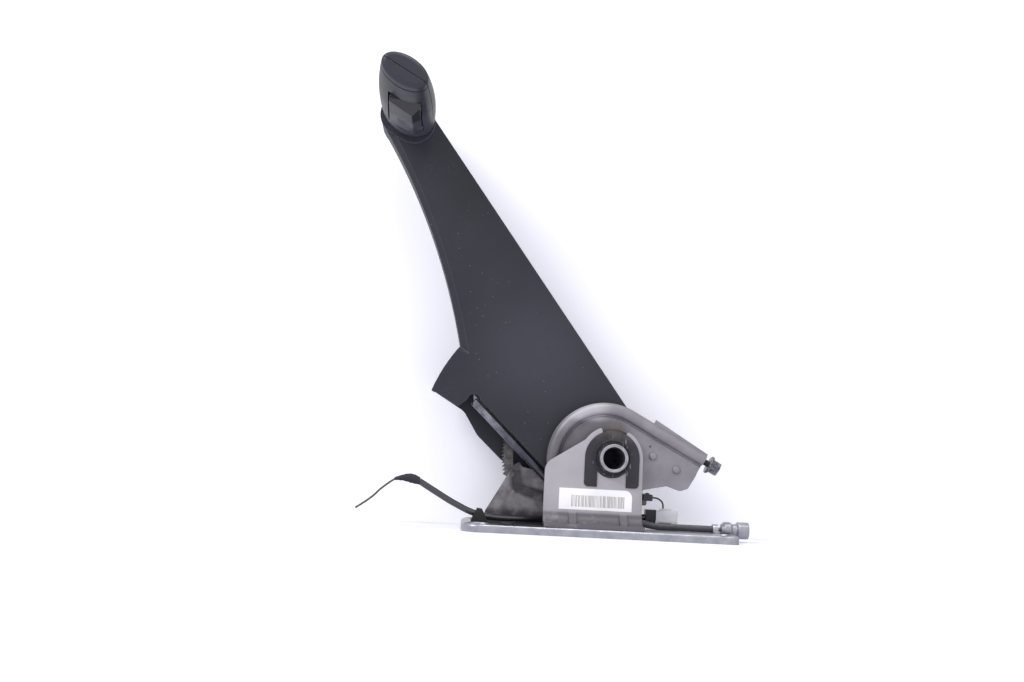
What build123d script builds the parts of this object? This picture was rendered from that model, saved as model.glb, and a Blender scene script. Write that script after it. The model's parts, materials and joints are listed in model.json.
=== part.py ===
from build123d import *
import os
from math import atan2, cos, degrees, radians, sin, tan

# Hand brake lever unit, millimetres. X runs to the right, Y away from the viewer and Z up.
# The origin is the centre of the four base bolts, on the underside of the base plate.

# Pivot of the lever, and the depths of the flat pieces along it
PIVOT_X = 8.0
PIVOT_Z = 60.0
TUBE_R = 10.75
TUBE_BORE_R = 8.4
TUBE_NEAR, TUBE_FAR = -33.5, 26.6
FIT = 0.05
FRONT_NEAR, FRONT_FAR = -22.0, -19.0
RATCHET_NEAR, RATCHET_FAR = 12.0, 15.0
SECTOR_FAR = 18.0
QUADRANT_MID = -10.0
COVER_NEAR, COVER_FAR = -3.5, 30.5
COVER_SPLIT = 13.5
COVER_WALL = 2.5
FLANGE_NEAR, FLANGE_FAR = 0.5, 26.0
ARM_SHEET = 2.5

# Base plate: a tray pressed from sheet with its flanges down
BASE_LENGTH, BASE_WIDTH, BASE_HEIGHT = 210.0, 80.0, 6.5
BASE_SHEET = 2.5
BOLT_X, BOLT_Y, BOLT_HOLE_R = 92.0, 29.0, 4.5
PAD_TOP_R, PAD_FOOT_R = 9.0, 7.2
BASE_TOP = BASE_HEIGHT - PIVOT_Z
NOTCH_LENGTH, NOTCH_WIDTH = 11.0, 16.0

# Cable quadrant: its rim is a round bead about a centre beside the pivot
RIM_X, RIM_Z = -4.6, -2.0
RIM_OUTER_R, RIM_INNER_R = 44.8, 33.5
RIM_END = 265.0
CHANNEL_TILT = -28.0
CHANNEL_LENGTH = 67.0
CABLE_LINE_R = 39.4
STRAND_R = 1.5
ROD_R, NUT_GAP, NUT_HEIGHT = 2.75, 4.3, 8.9

# Grip: an oval bar nearly square to the arm, with its long axis tilted
GRIP_X, GRIP_Z = -172.5, 264.0
GRIP_TILT = -29.6
GRIP_ROOT, GRIP_TIP = -5.0, -112.0
GRIP_LEAN = (1.2, 1.7)
CAP_DEPTH = -105.0
GRIP_WALL = 2.5

# Release button in the grip's underside: the tilt of its window, and its sides counted along it
BUTTON_TILT = -10.0
BUTTON_LEFT, BUTTON_RIDGE, BUTTON_RIGHT = -10.7, 9.0, 16.1
BUTTON_ROOT, BUTTON_TIP = -21.0, -87.0
BUTTON_BACK = -10.4
BUTTON_TRAVEL = 4.5

# Ratchet
TOOTH_TIP_R, TOOTH_ROOT_R, SECTOR_INNER_R = 83.5, 81.3, 74.5
SECTOR_START, SECTOR_END, TOOTH_COUNT = 143.0, 197.0, 24
PAWL_X, PAWL_Z = -74.3, 66.9
ROD_LOW = (-92.4, 58.4)
ROD_HIGH = (-161.6, 265.3)
LUG_R, CRANK_R = 11.0, 11.0

# Rolled rear edge of the steel arm
BEAD_TOP = (-108.3, 39.4)
BEAD_TURN = -43.6
BEAD_LENGTH, BEAD_R, BEAD_GAP = 88.0, 3.5, 0.5

# Wiring loom and cable
LOOM_R, WIRE_R, SLEEVE_R = 2.45, 0.8, 2.6


def at_depth(depth):
    """Drawing plane at one depth: its x is X and its y is Z, both counted from the pivot."""
    return Plane(origin=(PIVOT_X, depth, PIVOT_Z), x_dir=(1, 0, 0), z_dir=(0, -1, 0))


def plate(face, near, far):
    """Flat piece with the drawn outline, from one depth to another."""
    return extrude(at_depth(far) * face, far - near, dir=(0, -1, 0))


def strip(face, x0, x1):
    """Bar with a section drawn in Y and Z, Z from the pivot, from one X to another."""
    seat = Plane(origin=world(x0, 0, 0), x_dir=(0, 1, 0), z_dir=(1, 0, 0))
    return extrude(seat * face, x1 - x0, dir=(1, 0, 0))


def disc(x, z, radius, near, far):
    return plate(Pos(x, z) * Circle(radius), near, far)


def polar(radius, angle):
    return (radius * cos(radians(angle)), radius * sin(radians(angle)))


def outline(points, radius=0.0):
    """Polygon with every corner rounded by the same radius."""
    face = Polygon(*points, align=None)
    if radius:
        face = fillet(face.vertices(), radius)
    return face


def along(start, angle, distance, offset=0.0):
    """Point at a distance along a line and an offset to its left."""
    dx, dz = polar(1.0, angle)
    return (start[0] + dx * distance - dz * offset, start[1] + dz * distance + dx * offset)


def world(x, depth, z):
    """Point given by X and Z from the pivot."""
    return (PIVOT_X + x, depth, PIVOT_Z + z)


def block(x0, x1, y0, y1, z0, z1):
    """Box between two corners, X and Z from the pivot."""
    size = (x1 - x0, y1 - y0, z1 - z0)
    middle = world((x0 + x1) / 2, (y0 + y1) / 2, (z0 + z1) / 2)
    return Pos(*middle) * Box(*size)


def tube_along(points, radius, bore=0.0, end_radii=None):
    """Round tube along straight runs joined by tangent arcs."""
    spots = [Vector(*point) for point in points]
    radii = end_radii or bend_radii(spots)
    path = Wire(FilletPolyline(*spots, radius=radii).edges()) if radii else Wire(Line(*spots).edges())
    ring = Circle(radius) - Circle(bore) if bore else Circle(radius)
    section = Plane(origin=path @ 0, z_dir=path % 0) * ring
    return sweep(section, path=path)


def bend_radii(spots):
    """Largest arcs that the runs allow: 0.45 of the shorter run over the tangent of half the turn."""
    radii = []
    for before, corner, after in zip(spots, spots[1:], spots[2:]):
        turn = (corner - before).get_angle(after - corner)
        shorter = min((corner - before).length, (after - corner).length)
        radii.append(0.45 * shorter / tan(radians(turn / 2)))
    return radii


# Base plate and brackets

def base_plate():
    """Tray with rolled long edges, pressed bolt pads and a notch where the cable leaves."""
    plan = Rectangle(BASE_LENGTH, BASE_WIDTH)
    left = plan.vertices().group_by(Axis.X)[0]
    plan = fillet(left, 14)
    plan = fillet(plan.vertices().group_by(Axis.X)[-1], 5)
    shell = extrude(plan, BASE_HEIGHT)
    shell = fillet(shell.faces().sort_by(Axis.Z)[-1].edges(), 2.6)
    inside = extrude(offset(plan, -BASE_SHEET), BASE_HEIGHT - BASE_SHEET)
    tray = shell - inside
    for x in (-BOLT_X, BOLT_X):
        for y in (-BOLT_Y, BOLT_Y):
            tray = press_pad(tray, x, y)
    for x in (-46.0, 46.0):
        rib = Pos(x, 20, BASE_HEIGHT) * Box(34, 7, 2.4)
        tray -= fillet(rib.edges(), 1.1)
    notch = Pos(BASE_LENGTH / 2, QUADRANT_MID, 0) * Box(2 * NOTCH_LENGTH, NOTCH_WIDTH, 4 * BASE_HEIGHT)
    tray -= notch
    tray -= Pos(*PIN_SPOT, 0) * Cylinder(3.0, 4 * BASE_HEIGHT)
    return tray


def press_pad(tray, x, y):
    """Round cup pressed down to the mounting face, with a bolt hole."""
    place = Pos(x, y, 0)
    drop = BASE_HEIGHT - BASE_SHEET
    tray -= place * Pos(0, 0, BASE_SHEET + drop / 2) * Cone(PAD_FOOT_R, PAD_TOP_R, drop)
    cup = Pos(0, 0, BASE_HEIGHT / 2) * Cone(PAD_FOOT_R + 1.2, PAD_TOP_R + 1.6, BASE_HEIGHT)
    cup -= Pos(0, 0, BASE_SHEET + drop / 2) * Cone(PAD_FOOT_R, PAD_TOP_R, drop)
    tray += place * cup
    return tray - place * Cylinder(BOLT_HOLE_R, 4 * BASE_HEIGHT)


PIN_SPOT = (-70.6, -34.0)
BUSH_ARCH_R, BUSH_LEG, BUSH_RING_R, LEG_INNER = 21.0, -22.2, 15.2, 11.2


def bush_opening():
    """Inverted U with the bracket's tongue standing up between its legs."""
    arch = Circle(BUSH_ARCH_R) & Pos(0, 20) * Rectangle(60, 40)
    legs = outline([(-BUSH_ARCH_R, 0), (-BUSH_ARCH_R, BUSH_LEG), (BUSH_ARCH_R, BUSH_LEG), (BUSH_ARCH_R, 0)])
    legs = fillet(legs.vertices().group_by(Axis.Y)[0], 3)
    tongue = Pos(0, BUSH_LEG) * Rectangle(2 * LEG_INNER, -2 * BUSH_LEG) - Circle(BUSH_RING_R)
    return arch + legs - tongue


def front_bracket():
    """Upright plate with a rolled foot, a sloping shoulder and an open keyhole for the tube."""
    side = outline([(-19, 30), (-22, 30), (-22, BASE_TOP + 3), (-38.5, BASE_TOP + 3), (-38.5, BASE_TOP), (-19, BASE_TOP)])
    bends = side.vertices().sort_by_distance(Vector(-22, BASE_TOP + 3, 0))
    side = fillet(bends[0], 10)
    bends = side.vertices().sort_by_distance(Vector(-19, BASE_TOP, 0))
    side = fillet(bends[0], 13)
    low = outline([(-51.3, BASE_TOP - 1), (24.6, BASE_TOP - 1), (23.7, 0), (-20, 0), (-20, 14.1), (-51.3, -6.1)])
    low = fillet(low.vertices().sort_by_distance(Vector(-51.3, -6.1, 0))[0], 11)
    left = Circle(24.8) & Polygon((0, 0), polar(60, 112), polar(60, 165), align=None)
    right = Circle(23.7) & Polygon((0, 0), (60, 0), polar(60, 61), align=None)
    fingers = (left + right) - Circle(BUSH_ARCH_R)
    tips = [v for v in fingers.vertices() if v.Y > 17]
    face = low + fillet(tips, 1.1) - bush_opening()
    bracket = strip(side, -52, 26) & plate(face, -45, -15)
    for x in (-32.0, 7.0):
        gusset = strip(outline([(-21.5, -41.5), (-21.5, BASE_TOP + 2.5), (-32, BASE_TOP + 2.5)]), x, x + 6)
        crest = gusset.faces().sort_by(Axis.Y)[0]
        bracket += fillet(crest.edges().filter_by(Axis.X, reverse=True), 2.4)
    return bracket


def front_pivot_bush():
    """Horseshoe bush that snaps into the front bracket, with a ring about the tube."""
    face = bush_opening()
    body = plate(face, FRONT_NEAR - 0.8, FRONT_FAR)
    back = offset(face, 1.4) & Pos(0, 0) * Rectangle(50, 50)
    body += plate(back, FRONT_FAR, FRONT_FAR + 1.6)
    body += disc(0, 0, BUSH_RING_R - 0.9, FRONT_NEAR - 2.6, FRONT_FAR + 2.6)
    body -= plate(Circle(13.2) - Circle(12.2), FRONT_NEAR - 2.6, FRONT_NEAR - 1.6)
    return body - disc(0, 0, TUBE_R + FIT, -50, 50)


def ratchet_bracket():
    """Rear plate: foot, hooked left edge, pivot boss and the strut that carries the sector."""
    low = outline([(-95.5, BASE_TOP), (-94.6, -46.4), (-79.9, -20.5), (-73.4, -9.2), (-69.3, -6.6),
                   (-66.6, -10.4), (-47, -14.4), (-20, -18), (-16, BASE_TOP)])
    low = fillet(low.vertices().group_by(Axis.Y)[-1], 1.2)
    tower = outline([(-47, BASE_TOP), (-47, -14.4), (-14, -14), (19, 0), (23.4, BASE_TOP)])
    strut = Rot(0, 0, 147.5) * Pos(45, 0) * Rectangle(71, 11)
    face = low + tower + strut + Circle(20)
    tab = outline([(14, -36), (33.5, -36), (33.5, -26.5), (14, -26.5)], 1.5)
    face += tab
    face -= Circle(13.5)
    wall = plate(face, RATCHET_NEAR, RATCHET_FAR)
    side = outline([(12, 95), (15, 95), (15, BASE_TOP), (12, BASE_TOP)])
    side = fillet(side.vertices().sort_by_distance(Vector(12, BASE_TOP, 0))[0], 2.8)
    plan = Rectangle(119, 20)
    plan = fillet(plan.vertices().group_by(Axis.Y)[-1], 6)
    bracket = (wall & strip(side, -96, 44)) + Pos(PIVOT_X - 36, 24, BASE_HEIGHT) * extrude(plan, 3)
    groove = trace(FilletPolyline((-71.4, -13.5), (-70.2, -27.2), (-38, -35.5), radius=4.5), 6.4)
    bracket -= plate(groove, RATCHET_NEAR, RATCHET_NEAR + 1.3)
    for spot in SECTOR_RIVETS:
        bracket -= disc(*spot, 2.0, 0, 30)
    return bracket


SECTOR_RIVETS = [polar(77.8, 147.5), polar(76.6, 192.6)]


def ratchet_sector():
    """Hardened toothed arc: saw teeth on the outer edge, made by a loop."""
    step = (SECTOR_END - SECTOR_START - 6) / TOOTH_COUNT
    points = [polar(SECTOR_INNER_R, SECTOR_START)]
    points.append(polar(TOOTH_ROOT_R, SECTOR_START))
    for tooth in range(TOOTH_COUNT):
        angle = SECTOR_START + 1 + tooth * step
        points.append(polar(TOOTH_ROOT_R, angle))
        points.append(polar(TOOTH_TIP_R, angle + step * 0.75))
        points.append(polar(TOOTH_TIP_R, angle + step * 0.88))
    points.append(polar(TOOTH_ROOT_R, SECTOR_END - 4))
    points.append(polar(TOOTH_ROOT_R - 2, SECTOR_END))
    points.append(polar(SECTOR_INNER_R, SECTOR_END))
    blank = outline(points)
    blank += outline([polar(SECTOR_INNER_R + 1, SECTOR_START + i * 6) for i in range(10)] + [(0, 0)])
    blank -= Circle(SECTOR_INNER_R)
    arc = plate(blank, RATCHET_FAR, SECTOR_FAR)
    for spot in SECTOR_RIVETS:
        arc -= disc(*spot, 2.0, 0, 30)
    return arc


def sector_rivets():
    """Two rivets, flush on the near side and with low round heads on the far one."""
    rivets = None
    for x, z in SECTOR_RIVETS:
        rivet = disc(x, z, 2.0, RATCHET_NEAR, SECTOR_FAR + 0.4)
        head = disc(x, z, 3.4, SECTOR_FAR, SECTOR_FAR + 1.4)
        rivet += fillet(head.faces().sort_by(Axis.Y)[-1].edges(), 1.0)
        rivets = rivet if rivets is None else rivets + rivet
    return rivets


def rear_pivot_bush():
    """Flanged bush in the ratchet bracket's boss."""
    body = disc(0, 0, 13.5, RATCHET_NEAR - 1.5, RATCHET_FAR + 1.5)
    body += disc(0, 0, 16.0, RATCHET_NEAR - 1.5, RATCHET_NEAR)
    body += disc(0, 0, 16.0, RATCHET_FAR, RATCHET_FAR + 1.5)
    return body - disc(0, 0, TUBE_R + FIT, -50, 50)


# Lever

def pivot_tube():
    """Tube that the lever turns on, with broken edges at its open near end."""
    tube = disc(0, 0, TUBE_R, TUBE_NEAR, TUBE_FAR) - disc(0, 0, TUBE_BORE_R, TUBE_NEAR, TUBE_FAR)
    tube = chamfer(tube.faces().sort_by(Axis.Y)[0].edges(), 0.4)
    return tube - plate(Circle(9.8) - Circle(9.5), TUBE_NEAR, TUBE_NEAR + 0.4)


EDGE_TURN = -53.5
EDGE_FOOT = polar(33.9, 90 + EDGE_TURN)
FOOT_MIDDLE = (17.5, -20.0)


def edge_point(distance, inset=0.0):
    """Point on the arm's straight front edge, counted upwards from its foot at the pivot."""
    return along(EDGE_FOOT, 180 + EDGE_TURN, distance, inset)


def arm_outline():
    """Steel arm seen from the side: straight front edge, curved rear edge, round foot and head."""
    low = along(BEAD_TOP, BEAD_TURN, BEAD_LENGTH)
    heel = (-31.0, -26.0)
    rear = Polyline((-187, 256), (-143, 172), (-126, 118), (-113.5, 78), BEAD_TOP, low, heel)
    round_foot = ThreePointArc(heel, FOOT_MIDDLE, edge_point(0, 5))
    front = Polyline(edge_point(0, 5), edge_point(285, 5), (-187, 256))
    face = make_face(rear.edges() + round_foot.edges() + front.edges())
    bends = [v for v in face.vertices() if 70 < v.Z + v.Y < 200]
    return fillet(bends, 30) + Pos(GRIP_X, GRIP_Z) * Circle(14)


def lever_arm():
    """Pressed steel arm: two flanges joined by a front web, with the rear edge rolled round."""
    face = arm_outline()
    for distance, across, radius in ((120, 26, 9), (165, 24, 8), (208, 20, 6.5)):
        face -= Pos(*edge_point(distance, across)) * Circle(radius)
    face -= Circle(TUBE_R)
    face -= Pos(PAWL_X, PAWL_Z) * Circle(3.0)
    near = plate(face - Pos(GRIP_X, GRIP_Z) * Circle(3.06), FLANGE_NEAR, FLANGE_NEAR + ARM_SHEET)
    for spot in SCREW_SPOTS:
        face -= Pos(*spot) * Circle(1.9)
    arm = near + plate(face, FLANGE_FAR - ARM_SHEET, FLANGE_FAR)
    web = outline([edge_point(18, 5), edge_point(262, 5), edge_point(262, 5 + ARM_SHEET), edge_point(18, 5 + ARM_SHEET)])
    arm += plate(web, FLANGE_NEAR, FLANGE_FAR)
    axis = polar(1.0, BEAD_TURN)
    bead_plane = Plane(origin=world(BEAD_TOP[0], FLANGE_NEAR + ARM_SHEET / 2, BEAD_TOP[1]), z_dir=(axis[0], 0, axis[1]))
    bead = extrude(bead_plane * Circle(BEAD_R), BEAD_LENGTH)
    bead = chamfer(bead.edges().sort_by(Axis.Z)[-1], 0.7)
    return arm + bead


SCREW_SPOTS = [edge_point(232, 17), edge_point(140, 50), edge_point(62, 26)]


REAR_TOP, REAR_MIDDLE, SKIRT = (-194.0, 258.0), (-152.5, 180.0), (-121.3, 81.8)
REAR_TURN = -67.6
BAND_DEPTH, BAND_TOP, BAND_MIDDLE, BAND_MITRE = 3.0, 3.0, 4.4, (-114.1, 75.9)


def head_oval(grow=0.0):
    """Long round end of the cover under the grip, a little larger than the grip's root."""
    low = Pos(GRIP_X - 0.8, GRIP_Z - 2.4) * Rot(0, 0, GRIP_TILT) * SlotOverall(44.8 + 2 * grow, 34.0 + 2 * grow)
    return low + Pos(GRIP_X, GRIP_Z) * Circle(18.9 + grow)


def cover_silhouette():
    """Whole side view of the moulded cover, carried past its open lower edge."""
    rear = ThreePointArc(REAR_TOP, REAR_MIDDLE, SKIRT)
    arc = ThreePointArc(SKIRT, (-141.9, 46.0), (-151.0, -5.0))
    low = Polyline((-151.0, -5.0), (-100, -60), (-10, -36.4))
    foot = ThreePointArc((-10, -36.4), (32.6, -15), EDGE_FOOT)
    front = Polyline(EDGE_FOOT, edge_point(312), REAR_TOP)
    face = make_face(rear.edges() + arc.edges() + low.edges() + foot.edges() + front.edges())
    return face + head_oval()


def band_strip(depth, inset_top, inset_middle, corner):
    """Strip beside the rear edge at one depth: from an inner arc to one outside the cover."""
    inner = ThreePointArc(along(REAR_TOP, REAR_TURN, -9, inset_top), along(REAR_MIDDLE, REAR_TURN, 0, inset_middle), corner)
    outside = ThreePointArc(along(SKIRT, REAR_TURN, 0, -4), along(REAR_MIDDLE, REAR_TURN, 0, -4),
                            along(REAR_TOP, REAR_TURN, -9, -4))
    edges = inner.edges() + Line(corner, outside @ 0).edges() + outside.edges() + Line(outside @ 1, inner @ 0).edges()
    return at_depth(depth) * make_face(edges)


def rear_band():
    """What is cut away to leave the sloping band along the rear edge, mitred at the skirt."""
    wide = band_strip(COVER_NEAR, BAND_TOP, BAND_MIDDLE, BAND_MITRE)
    closed = band_strip(COVER_NEAR + BAND_DEPTH, 0, 0, SKIRT)
    return loft([wide, closed], ruled=True)


def cover_half(near, far, lower_edge, outer_depth):
    """One half of the cover: walls along its sides and one face, open where the arm comes out."""
    face = cover_silhouette()
    body = plate(face, near, far)
    if outer_depth == near:
        body -= rear_band()
    else:
        outer = body.faces().sort_by(Axis.Y)[-1]
        body = fillet([e for e in outer.edges() if e.center().X < PIVOT_X - 100 and e.length > 150], 4.0)
    inner_near = near + COVER_WALL if outer_depth == near else near
    inner_far = far if outer_depth == near else far - COVER_WALL
    body -= plate(offset(face, -COVER_WALL), inner_near, inner_far)
    body -= plate(foot_slot(), max(near, RATCHET_NEAR - 2.5), min(far, SECTOR_FAR))
    return body - plate(lower_edge, near - 1, far + 1)


def foot_slot():
    """Where the ratchet bracket passes through the wall round the foot as the lever swings."""
    fan = [polar(60, angle) for angle in range(205, 326, 15)]
    return Polygon((0, 0), *fan, align=None) - Circle(28)


def near_lower_edge():
    """What is cut away below the near face, with a round notch for the rolled edge's end."""
    line = along(BEAD_TOP, BEAD_TURN, 0, BEAD_R + BEAD_GAP)
    end = along(BEAD_TOP, BEAD_TURN, 108, BEAD_R + BEAD_GAP)
    cut = outline([(-166, 59.0), (-120.6, 34.4), (-113.1, 40.2), BEAD_TOP, line, end, (-10, -90), (-180, -90)])
    cut = fillet(cut.vertices().sort_by_distance(Vector(-120.6, 34.4, 0))[0], 3)
    return cut + Pos(*BEAD_TOP) * Circle(5.0)


def far_lower_edge():
    """What is cut away below the far face, a stepped curve that hangs lower than the near one."""
    cut = outline([(-166, 61.5), (-115.4, 31.6), (-103.6, 12.8), (-83.2, -6.0), (-55, -23), (-26, -34), (-10, -90),
                   (-180, -90)])
    bends = [v for v in cut.vertices() if -116 < v.X < -20 and v.Y > -40]
    return fillet(bends, 12)


def arm_cover_near():
    """Near half: carries the ring that the grip stands on."""
    half = cover_half(COVER_NEAR, COVER_SPLIT - 0.15, near_lower_edge(), COVER_NEAR)
    half += plate(head_oval(0.4), GRIP_ROOT, COVER_NEAR + 1)
    half -= disc(GRIP_X, GRIP_Z, 13.0, -20, COVER_NEAR + 4)
    return half - disc(0, 0, TUBE_R + 0.6, -20, 0)


def arm_cover_far():
    """Far half: three bosses reach in to the steel arm."""
    half = cover_half(COVER_SPLIT + 0.15, COVER_FAR, far_lower_edge(), COVER_FAR)
    for spot in SCREW_SPOTS:
        half += disc(*spot, 5.0, FLANGE_FAR, COVER_FAR - 1)
        half -= disc(*spot, 2.3, 20, 40)
        half -= disc(*spot, 4.4, COVER_FAR - 1.4, 40)
    return half


def cover_screws():
    """Three pan head screws that hold the cover to the arm."""
    screws = None
    for x, z in SCREW_SPOTS:
        screw = disc(x, z, 1.8, 20.5, COVER_FAR - 1.4)
        head = disc(x, z, 4.0, COVER_FAR - 1.4, COVER_FAR + 0.9)
        screw += fillet(head.faces().sort_by(Axis.Y)[-1].edges(), 1.2)
        screw -= Pos(*world(x, COVER_FAR + 0.9, z)) * Box(5.0, 1.8, 1.0)
        screw -= Pos(*world(x, COVER_FAR + 0.9, z)) * Box(1.0, 1.8, 5.0)
        screws = screw if screws is None else screws + screw
    return screws


# Cable quadrant, one drawing for both plates

def channel_point(distance, offset_in=0.0):
    """Point on the straight channel's outer side, from where the round rim ends."""
    start = polar(RIM_OUTER_R - offset_in, 90 + CHANNEL_TILT)
    return along((RIM_X + start[0], RIM_Z + start[1]), CHANNEL_TILT, distance)


def quadrant_web():
    """Flat middle of a quadrant plate, inside the bead."""
    tail = [(69.3, -5.4), (67.0, -10.8), (61.4, -20.6), (55.6, -22.8), (44.7, -19.4), (26.1, -23.2), (-6, -35.0)]
    band = RIM_OUTER_R - RIM_INNER_R - 0.2
    lobe = outline([(-6, -30), channel_point(0, band), channel_point(CHANNEL_LENGTH, band)] + tail)
    corners = [v for v in lobe.vertices() if v.X > 40 and v.Y < -8]
    lobe = fillet(corners, 3.5)
    disc_face = Pos(RIM_X, RIM_Z) * Circle(RIM_INNER_R + 0.2)
    return lobe + disc_face


def bead_profile(side):
    """Section of the rim, x across and y outwards: a valley beside the web, then a half round bead."""
    sheet, valley = 1.5, 0.8
    foot = RIM_INNER_R + 1.7
    outer = Polyline((RIM_INNER_R, 0), (RIM_INNER_R, sheet), (RIM_INNER_R + 0.3, sheet), (RIM_INNER_R + 0.9, valley),
                     (foot, valley), (foot + 0.9, 4.4))
    crown = ThreePointArc((foot + 0.9, 4.4), (foot + 4.4, 6.1), (RIM_OUTER_R, 2.6))
    edge = Line((RIM_OUTER_R, 2.6), (RIM_OUTER_R - 1.3, 1.9))
    hollow = ThreePointArc((RIM_OUTER_R - 1.3, 1.9), (foot + 4.6, 4.6), (foot + 1.8, 3.3))
    inner = Polyline((foot + 1.8, 3.3), (foot + 1.0, 0), (RIM_INNER_R, 0))
    face = make_face(outer.edges() + crown.edges() + edge.edges() + hollow.edges() + inner.edges())
    return mirror(face, Plane.XZ) if side > 0 else face


def quadrant_plate(side):
    """Pressed plate of the quadrant; side -1 is the near one, +1 the far one."""
    if side < 0:
        near, far = QUADRANT_MID - 1.5, QUADRANT_MID
    else:
        near, far = QUADRANT_MID, QUADRANT_MID + 1.5
    start = 90 + CHANNEL_TILT
    centre = world(RIM_X, QUADRANT_MID, RIM_Z)
    radial = polar(1.0, start)
    section = Plane(origin=centre, x_dir=(radial[0], 0, radial[1]), z_dir=(radial[1], 0, -radial[0]))
    face = section * bead_profile(side)
    spin = Axis(centre, (0, -1, 0))
    rim = revolve(face, spin, RIM_END - start)
    channel = extrude(face, CHANNEL_LENGTH, dir=(radial[1], 0, -radial[0]))
    body = plate(quadrant_web(), near, far) + rim + channel
    if side < 0:
        lip = [channel_point(18.7, 1.2), channel_point(18.7, -3.1), channel_point(CHANNEL_LENGTH, -0.7)]
        body += plate(outline(lip + [channel_point(CHANNEL_LENGTH, 1.2)]), near - 1.5, far - 1.6)
    body -= disc(0, 0, TUBE_R, -30, 10)
    for x, z in QUADRANT_RIVETS:
        body -= disc(x, z, 2.0, -30, 10)
    return body - disc(30.6, 10.6, 0.85, -30, 10) if side < 0 else body


QUADRANT_RIVETS = [(33.1, 3.1), (51.8, -6.5)]


def quadrant_rivets():
    """Two rivets that hold the plates together, domed in front and flat behind."""
    rivets = None
    for x, z in QUADRANT_RIVETS:
        rivet = disc(x, z, 2.0, QUADRANT_MID - 1.6, QUADRANT_MID + 1.6)
        front = disc(x, z, 3.1, QUADRANT_MID - 3.3, QUADRANT_MID - 1.5)
        rivet += fillet(front.faces().sort_by(Axis.Y)[0].edges(), 1.6)
        rivet += disc(x, z, 3.2, QUADRANT_MID + 1.5, QUADRANT_MID + 2.5)
        rivets = rivet if rivets is None else rivets + rivet
    return rivets


def channel_axis_plane(distance):
    """Plane square to the straight channel, centred on the cable's line."""
    spot = channel_point(distance, RIM_OUTER_R - CABLE_LINE_R)
    run = polar(1.0, CHANNEL_TILT)
    return Plane(origin=world(spot[0], QUADRANT_MID, spot[1]), x_dir=(0, 1, 0), z_dir=(run[0], 0, run[1]))


def adjuster_rod():
    """Threaded end of the cable, plain here."""
    start = 46.0
    rod = extrude(channel_axis_plane(start) * Circle(ROD_R), CHANNEL_LENGTH + NUT_GAP + NUT_HEIGHT - 0.4 - start)
    return chamfer(rod.edges().sort_by(Axis.X)[-1], 0.6)


def adjuster_nut():
    """Flanged hexagon nut, turned on to the rod and still short of the channel's end."""
    start = CHANNEL_LENGTH + NUT_GAP
    flange = extrude(channel_axis_plane(start) * Circle(7.2), 2.0)
    flange = fillet(flange.edges(), 0.6)
    cone = extrude(channel_axis_plane(start + 1.9) * Circle(6.4), 1.0, taper=35)
    hexagon = extrude(channel_axis_plane(start + 1.4) * RegularPolygon(5.8, 6), NUT_HEIGHT - 1.4)
    crown = extrude(channel_axis_plane(start) * Circle(7.0), NUT_HEIGHT)
    crown = chamfer(crown.faces().sort_by(Axis.X)[-1].edges(), 1.5)
    nut = flange + cone + (hexagon & crown)
    return nut - extrude(channel_axis_plane(start) * Circle(ROD_R), 10)


# Brake cable

STRAND_LEAVES = 258.0


def strand_leaving(distance):
    """Point on the cable's straight run from the quadrant's underside to its sleeve."""
    spot = polar(CABLE_LINE_R, STRAND_LEAVES)
    return along((RIM_X + spot[0], RIM_Z + spot[1]), STRAND_LEAVES - 270, distance)


SLEEVE_Z = BASE_TOP + SLEEVE_R + 0.1
LEAVING_DROP = sin(radians(270 - STRAND_LEAVES))
CORNER_DISTANCE = (strand_leaving(0)[1] - SLEEVE_Z) / LEAVING_DROP
CORNER = strand_leaving(CORNER_DISTANCE)
SLEEVE_START = strand_leaving(CORNER_DISTANCE - 15)
SLEEVE_END_X = 86.0
TAIL_START_X = 62.0
SLEEVE_BEND = 0.45 * 15 / tan(radians((270 - STRAND_LEAVES) / 2))


def cable_strand():
    """Steel strand: from the adjuster along the channel, round the rim and into the sleeve."""
    start = 90 + CHANNEL_TILT
    spots = [channel_point(46, RIM_OUTER_R - CABLE_LINE_R), channel_point(0, RIM_OUTER_R - CABLE_LINE_R)]
    straight = Line(*[world(x, QUADRANT_MID, z) for x, z in spots])
    arc_spots = []
    for angle in (start, (start + STRAND_LEAVES) / 2, STRAND_LEAVES):
        x, z = polar(CABLE_LINE_R, angle)
        arc_spots.append(world(RIM_X + x, QUADRANT_MID, RIM_Z + z))
    wrap = ThreePointArc(*arc_spots)
    run = [strand_leaving(0), CORNER, (TAIL_START_X, SLEEVE_Z)]
    tail = FilletPolyline(*[world(x, QUADRANT_MID, z) for x, z in run], radius=SLEEVE_BEND)
    path = Wire(straight.edges() + wrap.edges() + tail.edges())
    return sweep(Plane(origin=path @ 0, z_dir=path % 0) * Circle(STRAND_R), path=path)


def cable_sleeve():
    """Moulded sleeve that guides the strand along the base."""
    spots = [SLEEVE_START, CORNER, (SLEEVE_END_X, SLEEVE_Z)]
    points = [world(x, QUADRANT_MID, z) for x, z in spots]
    return tube_along(points, SLEEVE_R, STRAND_R + 0.15, [SLEEVE_BEND])


def cable_clip():
    """Bright saddle that clamps the sleeve's end to the base."""
    x0, x1 = SLEEVE_END_X - 4.2, SLEEVE_END_X
    clip = block(x0, x1, QUADRANT_MID - 4.0, QUADRANT_MID + 4.0, BASE_TOP, SLEEVE_Z)
    clip += strip(Pos(QUADRANT_MID, SLEEVE_Z) * Circle(4.0), x0, x1)
    clip += block(x0, x1, QUADRANT_MID - 8.0, QUADRANT_MID + 8.0, BASE_TOP, BASE_TOP + 1.2)
    clip &= block(x0, x1, QUADRANT_MID - 8.0, QUADRANT_MID + 8.0, BASE_TOP, 0)
    return clip - strip(Pos(QUADRANT_MID, SLEEVE_Z) * Circle(SLEEVE_R), x0, x1)


FITTING_X = SLEEVE_END_X + 2.6


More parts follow.
